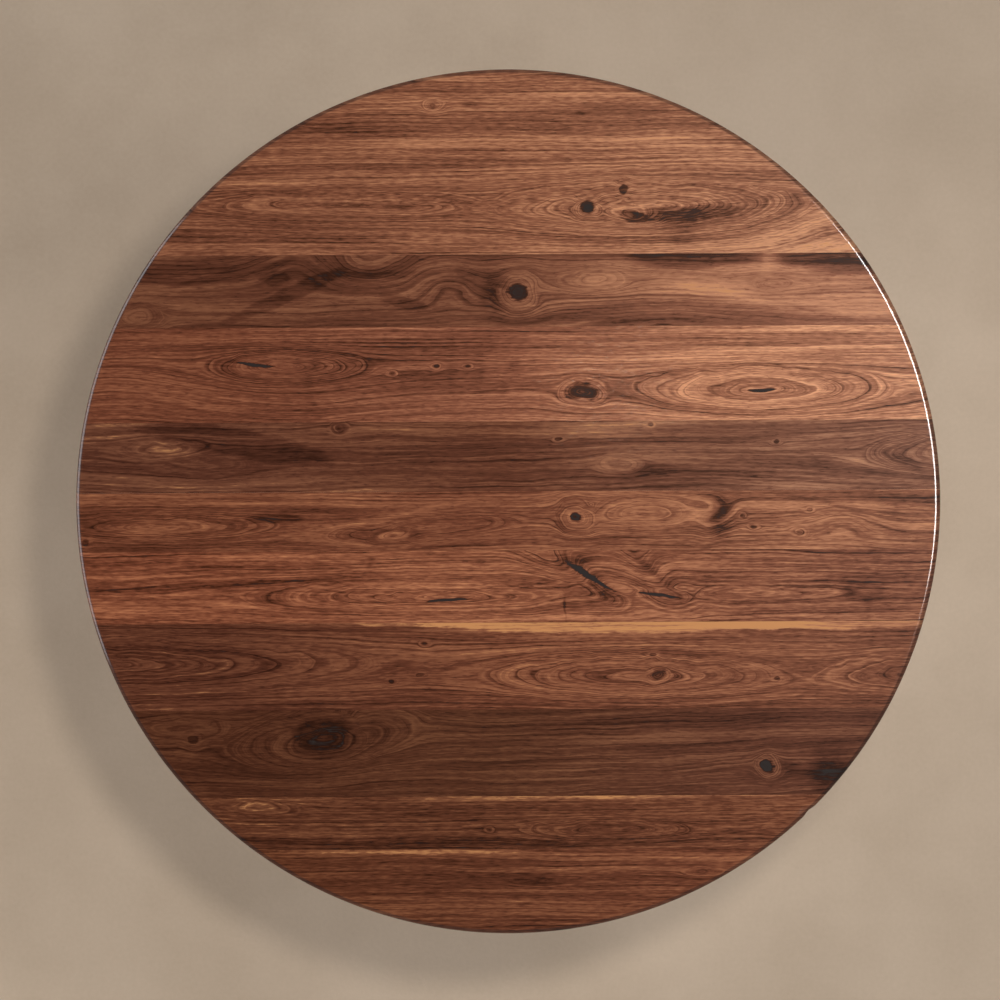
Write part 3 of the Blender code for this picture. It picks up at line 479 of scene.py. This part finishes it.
            tick=[(19.5, -497), (178.5, -444)])),
}

topShape = dict(sides=720, roundover=0.008, roundSteps=9, underArris=0.003, underSteps=3,
                seamGap=0.00012, cadSeamGap=0.0003, sharpAngle=38,
                chip=(0.366, -0.381), chipReach=0.006, chipDepth=0.0035, chipHeight=0.014, chipSlump=0.6)


def standIn(name, mesh, body, slot, *nodes):
    piece = bpy.data.objects.new(name, mesh)
    scene.collection.objects.link(piece)
    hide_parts(*nodes)
    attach(piece, body)
    return piece


def discMesh():
    r, t = topShape["roundover"], topShape["underArris"]
    rim = []
    for i in range(topShape["roundSteps"] + 1):
        a = math.radians(90 * i / topShape["roundSteps"])
        rim.append((topRadius - r + r * math.sin(a), tableHeight - r + r * math.cos(a)))
    for i in range(topShape["underSteps"] + 1):
        a = math.radians(90 * i / topShape["underSteps"])
        rim.append((topRadius - t + t * math.cos(a), underside + t - t * math.sin(a)))
    bm = bmesh.new()
    loops = []
    for radius, z in rim:
        angles = [2 * math.pi * i / topShape["sides"] for i in range(topShape["sides"])]
        loops.append([bm.verts.new((radius * math.cos(a), radius * math.sin(a), z)) for a in angles])
    bm.faces.new(loops[0])
    bm.faces.new(list(reversed(loops[-1])))
    for upper, lower in zip(loops, loops[1:]):
        for i in range(len(upper)):
            j = (i + 1) % len(upper)
            bm.faces.new((upper[i], lower[i], lower[j], upper[j])).smooth = True
    for vertex in bm.verts:  # the knocked spot on the rim
        away = math.hypot(vertex.co.x - topShape["chip"][0], vertex.co.y - topShape["chip"][1])
        depth = topShape["chipDepth"] * math.exp(-(away / topShape["chipReach"]) ** 2)
        if vertex.co.z > underside + topShape["chipHeight"] and depth > 0.0002:
            vertex.co.xy *= 1 - depth / topRadius
            vertex.co.z -= depth * topShape["chipSlump"]
    return bm


def makeBoards():
    for name in sorted(boardLooks):
        low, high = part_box(name)
        widen = (topShape["cadSeamGap"] - topShape["seamGap"]) / 2
        bm = discMesh()
        for edge, outward in ((low.y - widen, -1), (high.y + widen, 1)):
            if abs(edge) > topRadius - 0.001:
                continue
            everything = bm.verts[:] + bm.edges[:] + bm.faces[:]
            cut = bmesh.ops.bisect_plane(bm, geom=everything, plane_co=(0, edge, 0), plane_no=(0, outward, 0),
                                         clear_outer=True)
            rimEdges = [e for e in cut["geom_cut"] if isinstance(e, bmesh.types.BMEdge)]
            bmesh.ops.contextual_create(bm, geom=rimEdges)
        bmesh.ops.recalc_face_normals(bm, faces=bm.faces)
        mesh = bpy.data.meshes.new(name + "_walnut")
        bm.to_mesh(mesh)
        bm.free()
        mesh.set_sharp_from_angle(angle=math.radians(topShape["sharpAngle"]))
        # edge=True gives the rounded rim its painted shade
        mesh.materials.append(walnut(name + "_wood", edge=True, **boardLooks[name]))
        standIn(name + "_figured", mesh, "top", "walnut", name)


makeBoards()
print("boards made")


# geometry node trees: one turns a profile, the other sets a fastening on every point
def makeLathe():
    tree, given, made = newGroup(
        "turnedOnLathe", "GeometryNodeTree",
        [("Profile", "Geometry", None), ("Sides", "Int", 48), ("Finish", "Material", None)],
        [("Turned", "Geometry")])
    rows = put(tree, "GeometryNodeAttributeDomainSize", {"Geometry": given["Profile"]}).outputs["Point Count"]
    grid = put(tree, "GeometryNodeMeshGrid", {"Size X": 1.0, "Size Y": 1.0, "Vertices Y": rows,
                                              "Vertices X": plus(tree, given["Sides"], 1)})
    here = put(tree, "GeometryNodeInputPosition").outputs[0]
    across, up, _ = parts(tree, here)
    turn = times(tree, plus(tree, across, 0.5), 2 * math.pi)
    row = calc(tree, "ROUND", times(tree, plus(tree, up, 0.5), minus(tree, rows, 1)))
    taken = put(tree, "GeometryNodeSampleIndex", {"Geometry": given["Profile"], "Value": here, "Index": row},
                data_type="FLOAT_VECTOR")
    reach, _, height = parts(tree, taken.outputs[0])
    spot = stretched(tree, times(tree, reach, calc(tree, "COSINE", turn)),
                     times(tree, reach, calc(tree, "SINE", turn)), height)
    turned = put(tree, "GeometryNodeSetPosition", {"Geometry": grid.outputs["Mesh"], "Position": spot})
    joined = put(tree, "GeometryNodeMergeByDistance", {"Geometry": turned.outputs[0], "Distance": 0.000005})
    return endTree(tree, joined.outputs[0], given["Finish"], made["Turned"])


def makeFastenings():
    tree, given, made = newGroup(
        "fasteningsOnPoints", "GeometryNodeTree",
        [("Places", "Geometry", None), ("Fastening", "Object", None), ("Facing", "Vector", None),
         ("Spin Seed", "Int", 1), ("Finish", "Material", None)],
        [("Set", "Geometry")])
    part = put(tree, "GeometryNodeObjectInfo", {"Object": given["Fastening"]}).outputs["Geometry"]
    spin = put(tree, "FunctionNodeRandomValue", data_type="FLOAT")
    for socket, value in zip([i for i in spin.inputs if i.enabled and i.type == "VALUE"], (0.0, math.pi)):
        socket.default_value = value
    plug(tree, next(i for i in spin.inputs if i.name == "Seed"), given["Spin Seed"])
    spun = stretched(tree, 0.0, 0.0, next(o for o in spin.outputs if o.enabled))
    spun = put(tree, "FunctionNodeEulerToRotation", {0: spun}).outputs[0]
    faced = put(tree, "FunctionNodeEulerToRotation", {0: given["Facing"]}).outputs[0]
    turn = put(tree, "FunctionNodeRotateRotation", {0: faced, 1: spun}, rotation_space="LOCAL")
    placed = put(tree, "GeometryNodeInstanceOnPoints", {"Points": given["Places"], "Instance": part,
                                                        "Rotation": turn.outputs[0]})
    return endTree(tree, placed.outputs[0], given["Finish"], made["Set"])


latheTree = makeLathe()
fasteningTree = makeFastenings()


def treeMesh(name, tree, mesh, values):
    holder = bpy.data.objects.new(name, mesh)
    scene.collection.objects.link(holder)
    modifier = holder.modifiers.new(tree.name, "NODES")
    modifier.node_group = tree
    for item in tree.interface.items_tree:
        if item.item_type == "SOCKET" and item.in_out == "INPUT" and item.name in values:
            modifier[item.identifier] = values[item.name]
    bpy.context.view_layer.update()
    made = bpy.data.meshes.new_from_object(holder.evaluated_get(bpy.context.evaluated_depsgraph_get()))
    bpy.data.objects.remove(holder)
    return tidyMesh(made, name)


def tidyMesh(mesh, name, sharp=38):
    bm = bmesh.new()
    bm.from_mesh(mesh)
    bmesh.ops.remove_doubles(bm, verts=bm.verts, dist=0.000004)
    bmesh.ops.recalc_face_normals(bm, faces=bm.faces)
    for face in bm.faces:
        face.smooth = True
    bm.to_mesh(mesh)
    bm.free()
    mesh.set_sharp_from_angle(angle=math.radians(sharp))
    mesh.name = name
    return mesh


def turnedMesh(name, profile, sides, finish):
    mesh = bpy.data.meshes.new(name + "Profile")
    mesh.from_pydata([(r, 0, z) for r, z in profile], [], [])
    return treeMesh(name, latheTree, mesh, {"Sides": sides, "Finish": finish})


def arc(centre, radius, start, end, count):
    angles = [math.radians(start + (end - start) * i / count) for i in range(count + 1)]
    return [(centre[0] + radius * math.cos(a), centre[1] + radius * math.sin(a)) for a in angles]


def bezier(p0, p1, p2, p3, count):
    points = []
    for i in range(count + 1):
        t = i / count
        weights = ((1 - t) ** 3, 3 * (1 - t) ** 2 * t, 3 * (1 - t) * t * t, t ** 3)
        points.append(tuple(sum(w * p[k] for w, p in zip(weights, (p0, p1, p2, p3))) for k in (0, 1)))
    return points


# metal and nylon
def makeHandling():
    tree, given, made = newGroup(
        "handlingMarks", "ShaderNodeTree",
        [("Place", "Vector", None), ("Size", "Float", 220.0)],
        [("Tarnish", "Float"), ("Scratches", "Float")])
    cloud = noise(tree, given["Place"], given["Size"], 4.0, 0.65).outputs[0]
    plug(tree, made["Tarnish"], fade(tree, cloud, 0.38, 0.68))
    x, y, z = parts(tree, given["Place"])
    drawn = stretched(tree, times(tree, x, 90.0), times(tree, y, 2600.0), times(tree, z, 2600.0))
    plug(tree, made["Scratches"], noise(tree, drawn, 1.0, 2.0).outputs[0])
    return tree


handling = makeHandling()


def metal(name, bright, dull, roughness, metallic=1.0, size=220.0):
    material, tree, shader = newMaterial(name)
    place = put(tree, "ShaderNodeTexCoord").outputs["Object"]
    tarnish, scratches = put(tree, "ShaderNodeGroup", {"Place": place, "Size": size}, node_tree=handling).outputs
    plug(tree, shader.inputs["Base Color"], mixed(tree, tarnish, linear(*bright), linear(*dull)))
    rough = timesPlus(tree, tarnish, 0.22, roughness)
    plug(tree, shader.inputs["Roughness"], timesPlus(tree, scratches, 0.12, rough))
    bumped(tree, shader, scratches, 0.00004, 0.3)
    shader.inputs["Metallic"].default_value = metallic
    return material


agedBrass = metal("agedBrass", (206, 169, 112), (166, 130, 82), 0.22, size=90.0)
blackSteel = metal("blackenedSteel", (78, 77, 76), (44, 43, 43), 0.38)
springSteel = metal("springSteel", (150, 150, 152), (104, 100, 96), 0.24, size=500.0)
blackNylon = metal("blackNylon", (34, 33, 32), (24, 24, 23), 0.55, metallic=0.0)


# walnut below the top: each piece has its own grain direction
def grainTurn(along, across):
    along, across = Vector(along).normalized(), Vector(across).normalized()
    return Matrix((along, across, along.cross(across))).to_euler()


lowerLooks = dict(tonesAndPaintedLight=((92, 53, 38), (101, 60, 43), (108, 65, 47)), bands=0.7, rings=1.2, span=0.45,
                  roughness=0.4, coat=0.4)
columnLooks = dict(tenon=0.025, shoulder=0.042, hub=0.052, hubTop=0.284, hubRound=0.003, sides=96,
                   neck=(0.0275, 0.630), belly=(0.0470, 0.352), waist=(0.0370, 0.302))  # radius and height
legLooks = dict(count=4, thick=0.038, toeThick=0.030, rounding=0.005, roundSteps=4, grainTilt=34,
                start=0.0488, top=0.262, bottom=0.115, reach=0.446, toe=0.014, sole=0.0063)


def makeColumn():
    low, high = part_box("column")
    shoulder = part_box("block")[0].z - 0.0003
    hubTop, hub, soft = columnLooks["hubTop"], columnLooks["hub"], columnLooks["hubRound"]
    neck, belly, waist = columnLooks["neck"], columnLooks["belly"], columnLooks["waist"]
    tenon = columnLooks["tenon"]
    profile = [(0, high.z), (tenon, high.z), (tenon, shoulder + 0.0001), (columnLooks["shoulder"], shoulder)]
    profile += arc((0.040, shoulder - 0.006), 0.006, 60, -60, 8)
    profile += bezier((0.036, shoulder - 0.013), (0.029, shoulder - 0.016), (0.0275, 0.650), neck, 10)
    profile += bezier(neck, (0.0275, 0.530), (0.0470, 0.440), belly, 26)[1:]
    profile += bezier(belly, (0.0470, 0.325), (0.0400, 0.312), waist, 10)[1:]
    profile += [(0.041, 0.300), *arc((0.0475, 0.292), 0.0055, 80, -80, 12)]
    profile += arc((hub - soft, hubTop - soft), soft, 90, 0, 4)
    profile += [*arc((hub - soft, low.z + soft), soft, 0, -90, 4), (0, low.z)]
    wood = walnut("columnWalnut", seed=12.0, turn=grainTurn((0, 0, 1), (0, 1, 0)), **lowerLooks)
    mesh = turnedMesh("turnedColumn", profile, columnLooks["sides"], wood)
    standIn("turnedColumn", mesh, "base", "dark_walnut", "column")


def legOutline():
    start, top, bottom = legLooks["start"], legLooks["top"], legLooks["bottom"]
    reach, toe, sole = legLooks["reach"], legLooks["toe"], legLooks["sole"]
    upper = bezier((start, top), (0.132, top), (0.210, 0.040), (reach - 0.020, 0.036), 44)
    nose = arc((reach - toe, sole + toe), toe, 60, -90, 12)
    lower = bezier((0.376, sole), (0.235, sole), (0.170, bottom), (0.104, bottom), 36)
    return [*upper, *nose, *lower, (start, bottom)]


def makeLegs():
    outline, start, reach = legOutline(), legLooks["start"], legLooks["reach"]
    for number in range(legLooks["count"]):
        angle = math.radians(45 + 90 * number)
        bm = bmesh.new()
        sides = []
        for side in (-1, 1):
            ring = []
            for r, z in outline:
                share = (r - start) / (reach - start)
                half = legLooks["thick"] / 2 * (1 - share * (1 - legLooks["toeThick"] / legLooks["thick"]))
                ring.append(bm.verts.new((r, side * half, z)))
            sides.append(ring)
        bm.faces.new(sides[0])
        bm.faces.new(list(reversed(sides[1])))
        count = len(outline)
        for i in range(count):
            bm.faces.new((sides[0][i], sides[1][i], sides[1][(i + 1) % count], sides[0][(i + 1) % count]))
        bmesh.ops.recalc_face_normals(bm, faces=bm.faces)
        edges = [e for e in bm.edges if e.verts[0].co.y * e.verts[1].co.y > 0
                 and not all(abs(v.co.x - start) < 1e-6 for v in e.verts)]
        bmesh.ops.bevel(bm, geom=edges, offset=legLooks["rounding"], segments=legLooks["roundSteps"],
                        profile=0.5, affect="EDGES")
        bmesh.ops.rotate(bm, matrix=Matrix.Rotation(angle, 3, "Z"), verts=bm.verts)
        mesh = bpy.data.meshes.new(f"sawnLeg{number + 1}")
        bm.to_mesh(mesh)
        bm.free()
        tidyMesh(mesh, mesh.name, 32)
        out, tilt = Vector((math.cos(angle), math.sin(angle), 0)), math.radians(legLooks["grainTilt"])
        along = out * math.cos(tilt) - Vector((0, 0, math.sin(tilt)))
        across = out * math.sin(tilt) + Vector((0, 0, math.cos(tilt)))
        mesh.materials.append(walnut(f"legWalnut{number + 1}", seed=20.0 + 3 * number,
                                     turn=grainTurn(along, across), **lowerLooks))
        standIn(f"sawnLeg{number + 1}", mesh, "base", "dark_walnut", f"leg_{number + 1}")


def dressCadWood():
    pieces = dict(block=((1, 0, 0), (0, 1, 0.3)), bearer_left=((0, 1, 0), (0, 0, 1)),
                  bearer_right=((0, 1, 0), (0, 0, 1)))
    for number, (name, axes) in enumerate(pieces.items()):
        wood = walnut(name + "Walnut", seed=40.0 + 2 * number, turn=grainTurn(*axes), **lowerLooks)
        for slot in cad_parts[name].material_slots:
            slot.material = wood
    maple = walnut("wedgeMaple", ((206, 172, 126), (212, 180, 136), (214, 182, 138)), 50.0, bands=0.3, rings=0.4,
                   turn=grainTurn((0, 0, 1), (1, 0, 0)))
    metals = dict(tenon_wedge=maple, pivot_washer=agedBrass, catch_case=agedBrass, catch_bolt=agedBrass,
                  strike_plate=agedBrass, spider_plate=blackSteel)
    for name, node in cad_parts.items():
        for start, finish in metals.items():
            if name.startswith(start):
                for slot in node.material_slots:
                    slot.material = finish


# screws, bolts, glides and the catch knob
def panHead(radius, height, shank, length):
    dome = [(radius * math.cos(math.radians(a)), -height * (0.35 + 0.65 * math.sin(math.radians(a))))
            for a in range(0, 91, 15)]
    return [(0, length), (shank * 0.3, length), (shank, length - 3 * shank), (shank, 0.0001), (radius, 0), *dome]


def sunkHead(radius, shank, length):
    return [(0, length), (shank * 0.3, length), (shank, length - 3 * shank), (shank, radius - shank + 0.0004),
            (radius, 0.0004), (radius, 0.00002), (0, 0)]


# axis says where the heads face: 0 to -X, 1 to +Y, 2 down and 3 to +X
finishes = dict(brass=agedBrass, steel=blackSteel, nylon=blackNylon)
fastenings = dict(
    bearerScrews=dict(start="bearer_screw", profile=panHead(0.005, 0.0032, 0.0025, 0.032), slot=(0.0012, 0.0017),
                      deep=0.0032, body="top", kind="brass", axis=2),
    plateScrews=dict(start="plate_screw", profile=panHead(0.004, 0.0024, 0.002, 0.020), slot=(0.0011, 0.0013),
                     deep=0.0024, body="base", kind="steel", axis=2),
    catchScrews=dict(start="catch_screw", profile=sunkHead(0.0036, 0.00175, 0.016), slot=(0.0009, 0.0008),
                     deep=0.0, body="top", kind="brass", axis=2),
    strikeScrews=dict(start="strike_screw", profile=sunkHead(0.003, 0.0015, 0.014), slot=(0.0009, 0.0008),
                      deep=0.0, body="base", kind="brass", axis=1),
    pivotBoltLeft=dict(start="pivot_bolt_left", profile=panHead(0.011, 0.005, 0.005, 0.0658), slot=(0.0016, 0.0018),
                       deep=0.005, body="base", kind="brass", axis=0),
    pivotBoltRight=dict(start="pivot_bolt_right", profile=panHead(0.011, 0.005, 0.005, 0.0658),
                        slot=(0.0016, 0.0018), deep=0.005, body="base", kind="brass", axis=3),
    footGlides=dict(start="foot_glide", profile=[(0, 0.006), (0.011, 0.00599), (0.011, 0.002), (0.0107, 0.0008),
                    (0.0095, 0), (0, 0)], slot=None, deep=0.0, body="base", kind="nylon", axis=2),
)
fasteningSides = 36


def slotted(mesh, width, depth, deep):
    bm = bmesh.new()
    bmesh.ops.create_cube(bm, size=1)
    bmesh.ops.scale(bm, vec=(0.04, width, 2 * depth), verts=bm.verts)
    bmesh.ops.translate(bm, vec=(0, 0, -deep), verts=bm.verts)
    box = bpy.data.meshes.new("slotCutter")
    bm.to_mesh(box)
    bm.free()
    cutter, blank = bpy.data.objects.new("slotCutter", box), bpy.data.objects.new("slotBlank", mesh)
    for obj in (cutter, blank):
        scene.collection.objects.link(obj)
    cut = blank.modifiers.new("slot", "BOOLEAN")
    cut.object = cutter
    cut.operation = "DIFFERENCE"
    bpy.context.view_layer.update()
    made = bpy.data.meshes.new_from_object(blank.evaluated_get(bpy.context.evaluated_depsgraph_get()))
    bpy.data.objects.remove(cutter)
    bpy.data.objects.remove(blank)
    return tidyMesh(made, mesh.name)


def setFastenings():
    facings = {0: (0, math.pi / 2, 0), 1: (math.pi / 2, 0, 0), 2: (0, 0, 0), 3: (0, -math.pi / 2, 0)}
    for name, looks in fastenings.items():
        finish = finishes[looks["kind"]]
        mesh = turnedMesh(name, looks["profile"], fasteningSides, finish)
        if looks["slot"]:
            mesh = slotted(mesh, *looks["slot"], looks["deep"])
        pattern = bpy.data.objects.new(name + "Pattern", mesh)
        scene.collection.objects.link(pattern)
        nodes = sorted(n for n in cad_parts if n.startswith(looks["start"]))
        axis, spots = looks["axis"], []
        for node in nodes:
            low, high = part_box(node)
            spot = (low + high) / 2
            if axis == 0:
                spot.x = low.x + looks["deep"]
            elif axis == 3:
                spot.x = high.x - looks["deep"]
            elif axis == 1:
                spot.y = high.y
            else:
                spot.z = low.z + looks["deep"]
            spots.append(spot)
        places = bpy.data.meshes.new(name + "Places")
        places.from_pydata(spots, [], [])
        made = treeMesh(name, fasteningTree, places, {"Fastening": pattern, "Facing": facings[axis],
                                                      "Spin Seed": 7, "Finish": finish})
        bpy.data.objects.remove(pattern)
        standIn(name, made, looks["body"], looks["kind"], *nodes)


knobLooks = dict(head=0.0113, shank=0.002, collar=0.0029, rim=0.0060, tip=0.0038, sides=48)


def makeKnob():
    low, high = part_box("catch_knob")
    centre, top = (low + high) / 2, low.z + knobLooks["head"]
    shank, collar, tip = knobLooks["shank"], knobLooks["collar"], knobLooks["tip"]
    profile = [(0, high.z), (shank, high.z), (shank, top + 0.0046), (collar, top + 0.0045), (collar, top + 0.0001),
               (knobLooks["rim"], top), *arc((0.0052, top - 0.0032), 0.0024, 60, -70, 12), (0.0042, top - 0.0068),
               (tip, top - 0.0075), *arc((0, top - 0.0075), tip, -10, -90, 8)]
    mesh = turnedMesh("fingerKnob", profile, knobLooks["sides"], agedBrass)
    for vertex in mesh.vertices:
        vertex.co.x += centre.x
        vertex.co.y += centre.y
    standIn("fingerKnob", mesh, "catch_bolt", "brass", "catch_knob")


springLooks = dict(wire=0.0009, turns=6, perTurn=24, closedPitch=1.15, travel=0.009, sides=10)


def makeWireOnPath():
    tree, given, made = newGroup(
        "wireOnPath", "GeometryNodeTree",
        [("Path", "Geometry", None), ("Wire", "Float", 0.001), ("Sides", "Int", 8), ("Finish", "Material", None)],
        [("Wound", "Geometry")])
    path = put(tree, "GeometryNodeMeshToCurve", {"Mesh": given["Path"]}).outputs[0]
    ring = put(tree, "GeometryNodeCurvePrimitiveCircle", {"Resolution": given["Sides"],
                                                          "Radius": times(tree, given["Wire"], 0.5)})
    wire = put(tree, "GeometryNodeCurveToMesh", {"Curve": path, "Profile Curve": ring.outputs[0],
                                                 "Fill Caps": True})
    return endTree(tree, wire.outputs[0], given["Finish"], made["Wound"])


def makeSpring():
    low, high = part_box("catch_spring")
    centre, wire, turns = (low + high) / 2, springLooks["wire"], springLooks["turns"]
    radius = (high.z - low.z - wire) / 2
    start, stop = low.y + wire / 2, high.y - wire / 2
    closed = wire * springLooks["closedPitch"]  # the first and last turns lie flat
    path = []
    for i in range(turns * springLooks["perTurn"] + 1):
        turn = i / springLooks["perTurn"]
        opened = min(max((turn - 1) / (turns - 2), 0), 1) * (stop - start - 2 * closed)
        y = start + closed * (min(turn, 1) + max(turn - turns + 1, 0)) + opened
        path.append((centre.x + radius * math.cos(2 * math.pi * turn), y,
                     centre.z + radius * math.sin(2 * math.pi * turn)))
    mesh = bpy.data.meshes.new("catchCoilPath")
    mesh.from_pydata(path, [(i, i + 1) for i in range(len(path) - 1)], [])
    coil = treeMesh("catchCoil", makeWireOnPath(), mesh, {"Wire": wire, "Sides": springLooks["sides"],
                                                          "Finish": springSteel})
    piece = standIn("catchCoil", coil, "top", "steel", "catch_spring")
    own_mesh(piece)


makeColumn()
makeLegs()
dressCadWood()
print("column, legs and block made")
setFastenings()
makeKnob()
makeSpring()
print("fastenings, knob and spring made")


# floor, lights and camera
roomLooks = dict(
    floor=((203, 183, 160), (186, 166, 143)), floorRadius=24.0, horizon=1.02, zenith=0.05, mirrorDimming=0.65,
    lamps=dict(
        keyLamp=dict(place=(0.36, 0.36, 5.2), size=0.3, watts=60, colour=(1, 0.96, 0.92)),
        sidePanel=dict(place=(1.32, 0.48, 3.64), size=0.6, watts=19, colour=(1, 0.98, 0.95)),
        rimLamp=dict(place=(2.07, 0.50, 3.46), size=1.8, depth=1.1, watts=320, colour=(1, 0.99, 0.97)),
        lowFill=dict(place=(-2.0, -2.6, 1.3), size=1.6, watts=34, colour=(1, 0.98, 0.95)),
        leftWall=dict(place=(-3.2, 0.6, 1.4), size=1.6, watts=14, colour=(0.9, 0.92, 1)),
        leftWindow=dict(place=(-2.6, 0.45, 0.9), size=3.2, depth=1.7, watts=85, colour=(0.96, 0.95, 1))))


def makeFloor():
    bm = bmesh.new()
    bmesh.ops.create_circle(bm, cap_ends=True, segments=96, radius=roomLooks["floorRadius"])
    mesh = bpy.data.meshes.new("plasterFloor")
    bm.to_mesh(mesh)
    bm.free()
    floor = bpy.data.objects.new("plasterFloor", mesh)
    scene.collection.objects.link(floor)
    material, tree, shader = newMaterial("palePlaster")
    place = put(tree, "ShaderNodeTexCoord").outputs["Object"]
    broad = noise(tree, place, scale=3.0, detail=5.0, roughness=0.6).outputs[0]
    fine = noise(tree, place, scale=160.0, detail=3.0).outputs[0]
    mottle = plus(tree, fade(tree, broad, 0.3, 0.7, 0.0, 0.7), times(tree, fine, 0.5))
    light, dark = roomLooks["floor"]
    paint = mixed(tree, mottle, linear(*light), linear(*dark))
    east, north, _ = parts(tree, place)
    paintedLightFalloff = fade(tree, minus(tree, east, north), 0.6, 1.15, 1.0, 0.9)  # painted shade: darker towards the front-right corner
    # painted light: brighter towards the right and darker towards the back, on top of the plaster mottle
    paintedLightFalloff = times(tree, paintedLightFalloff, fade(tree, east, -0.75, 0.75, 0.95, 1.12))
    paintedLightFalloff = times(tree, paintedLightFalloff, fade(tree, north, -0.1, 0.65, 1.0, 0.87))
    paint = mixed(tree, 1.0, paint, stretched(tree, paintedLightFalloff, paintedLightFalloff, paintedLightFalloff), "MULTIPLY")
    plug(tree, shader.inputs["Base Color"], paint)
    shader.inputs["Roughness"].default_value = 0.85
    shader.inputs["Specular IOR Level"].default_value = 0.25
    bumped(tree, shader, plus(tree, fine, broad), 0.0006, 0.3)
    mesh.materials.append(material)


def softLight(name, place, size, watts, colour, depth=None, aim=(0, 0, 0.75)):
    data = bpy.data.lights.new(name, "AREA")
    data.shape = "RECTANGLE" if depth else "DISK"
    data.size = size
    data.size_y = depth or size
    data.energy = watts
    data.color = colour
    lamp = bpy.data.objects.new(name, data)
    scene.collection.objects.link(lamp)
    lamp.location = place
    lamp.rotation_euler = (Vector(aim) - Vector(place)).to_track_quat("-Z", "Y").to_euler()
    lamp.visible_camera = False
    lamp.visible_glossy = bool(depth)  # the rectangles are only there to shine in the finish
    lamp.visible_diffuse = not depth


makeFloor()
for lampName, lampLooks in roomLooks["lamps"].items():
    softLight(lampName, **lampLooks)

world = bpy.data.worlds.new("studioAir")
world.use_nodes = True
air = world.node_tree
airHeight = parts(air, put(air, "ShaderNodeTexCoord").outputs["Generated"])[2]
glow = fade(air, airHeight, 0.35, 0.82, roomLooks["horizon"], roomLooks["zenith"])
mirrored = put(air, "ShaderNodeLightPath").outputs["Is Glossy Ray"]
# the finish mirrors a dimmer room
glow = times(air, glow, timesPlus(air, mirrored, -roomLooks["mirrorDimming"], 1.0))
plug(air, air.nodes["Background"].inputs["Strength"], glow)
air.nodes["Background"].inputs["Color"].default_value = (0.97, 0.97, 1, 1)
scene.world = world

cameraLooks = dict(distance=5.0, halfView=0.6165, roll=-0.3, place=(-0.0102, 0.0017))
camera = bpy.data.objects.new("overheadCamera", bpy.data.cameras.new("overheadCamera"))
camera.data.sensor_width = 36
camera.data.lens = 18 * cameraLooks["distance"] / cameraLooks["halfView"]
camera.location = (*cameraLooks["place"], tableHeight + cameraLooks["distance"])
camera.rotation_euler = (0, 0, math.radians(cameraLooks["roll"]))
scene.collection.objects.link(camera)
scene.camera = camera
print("room, lights and camera set")
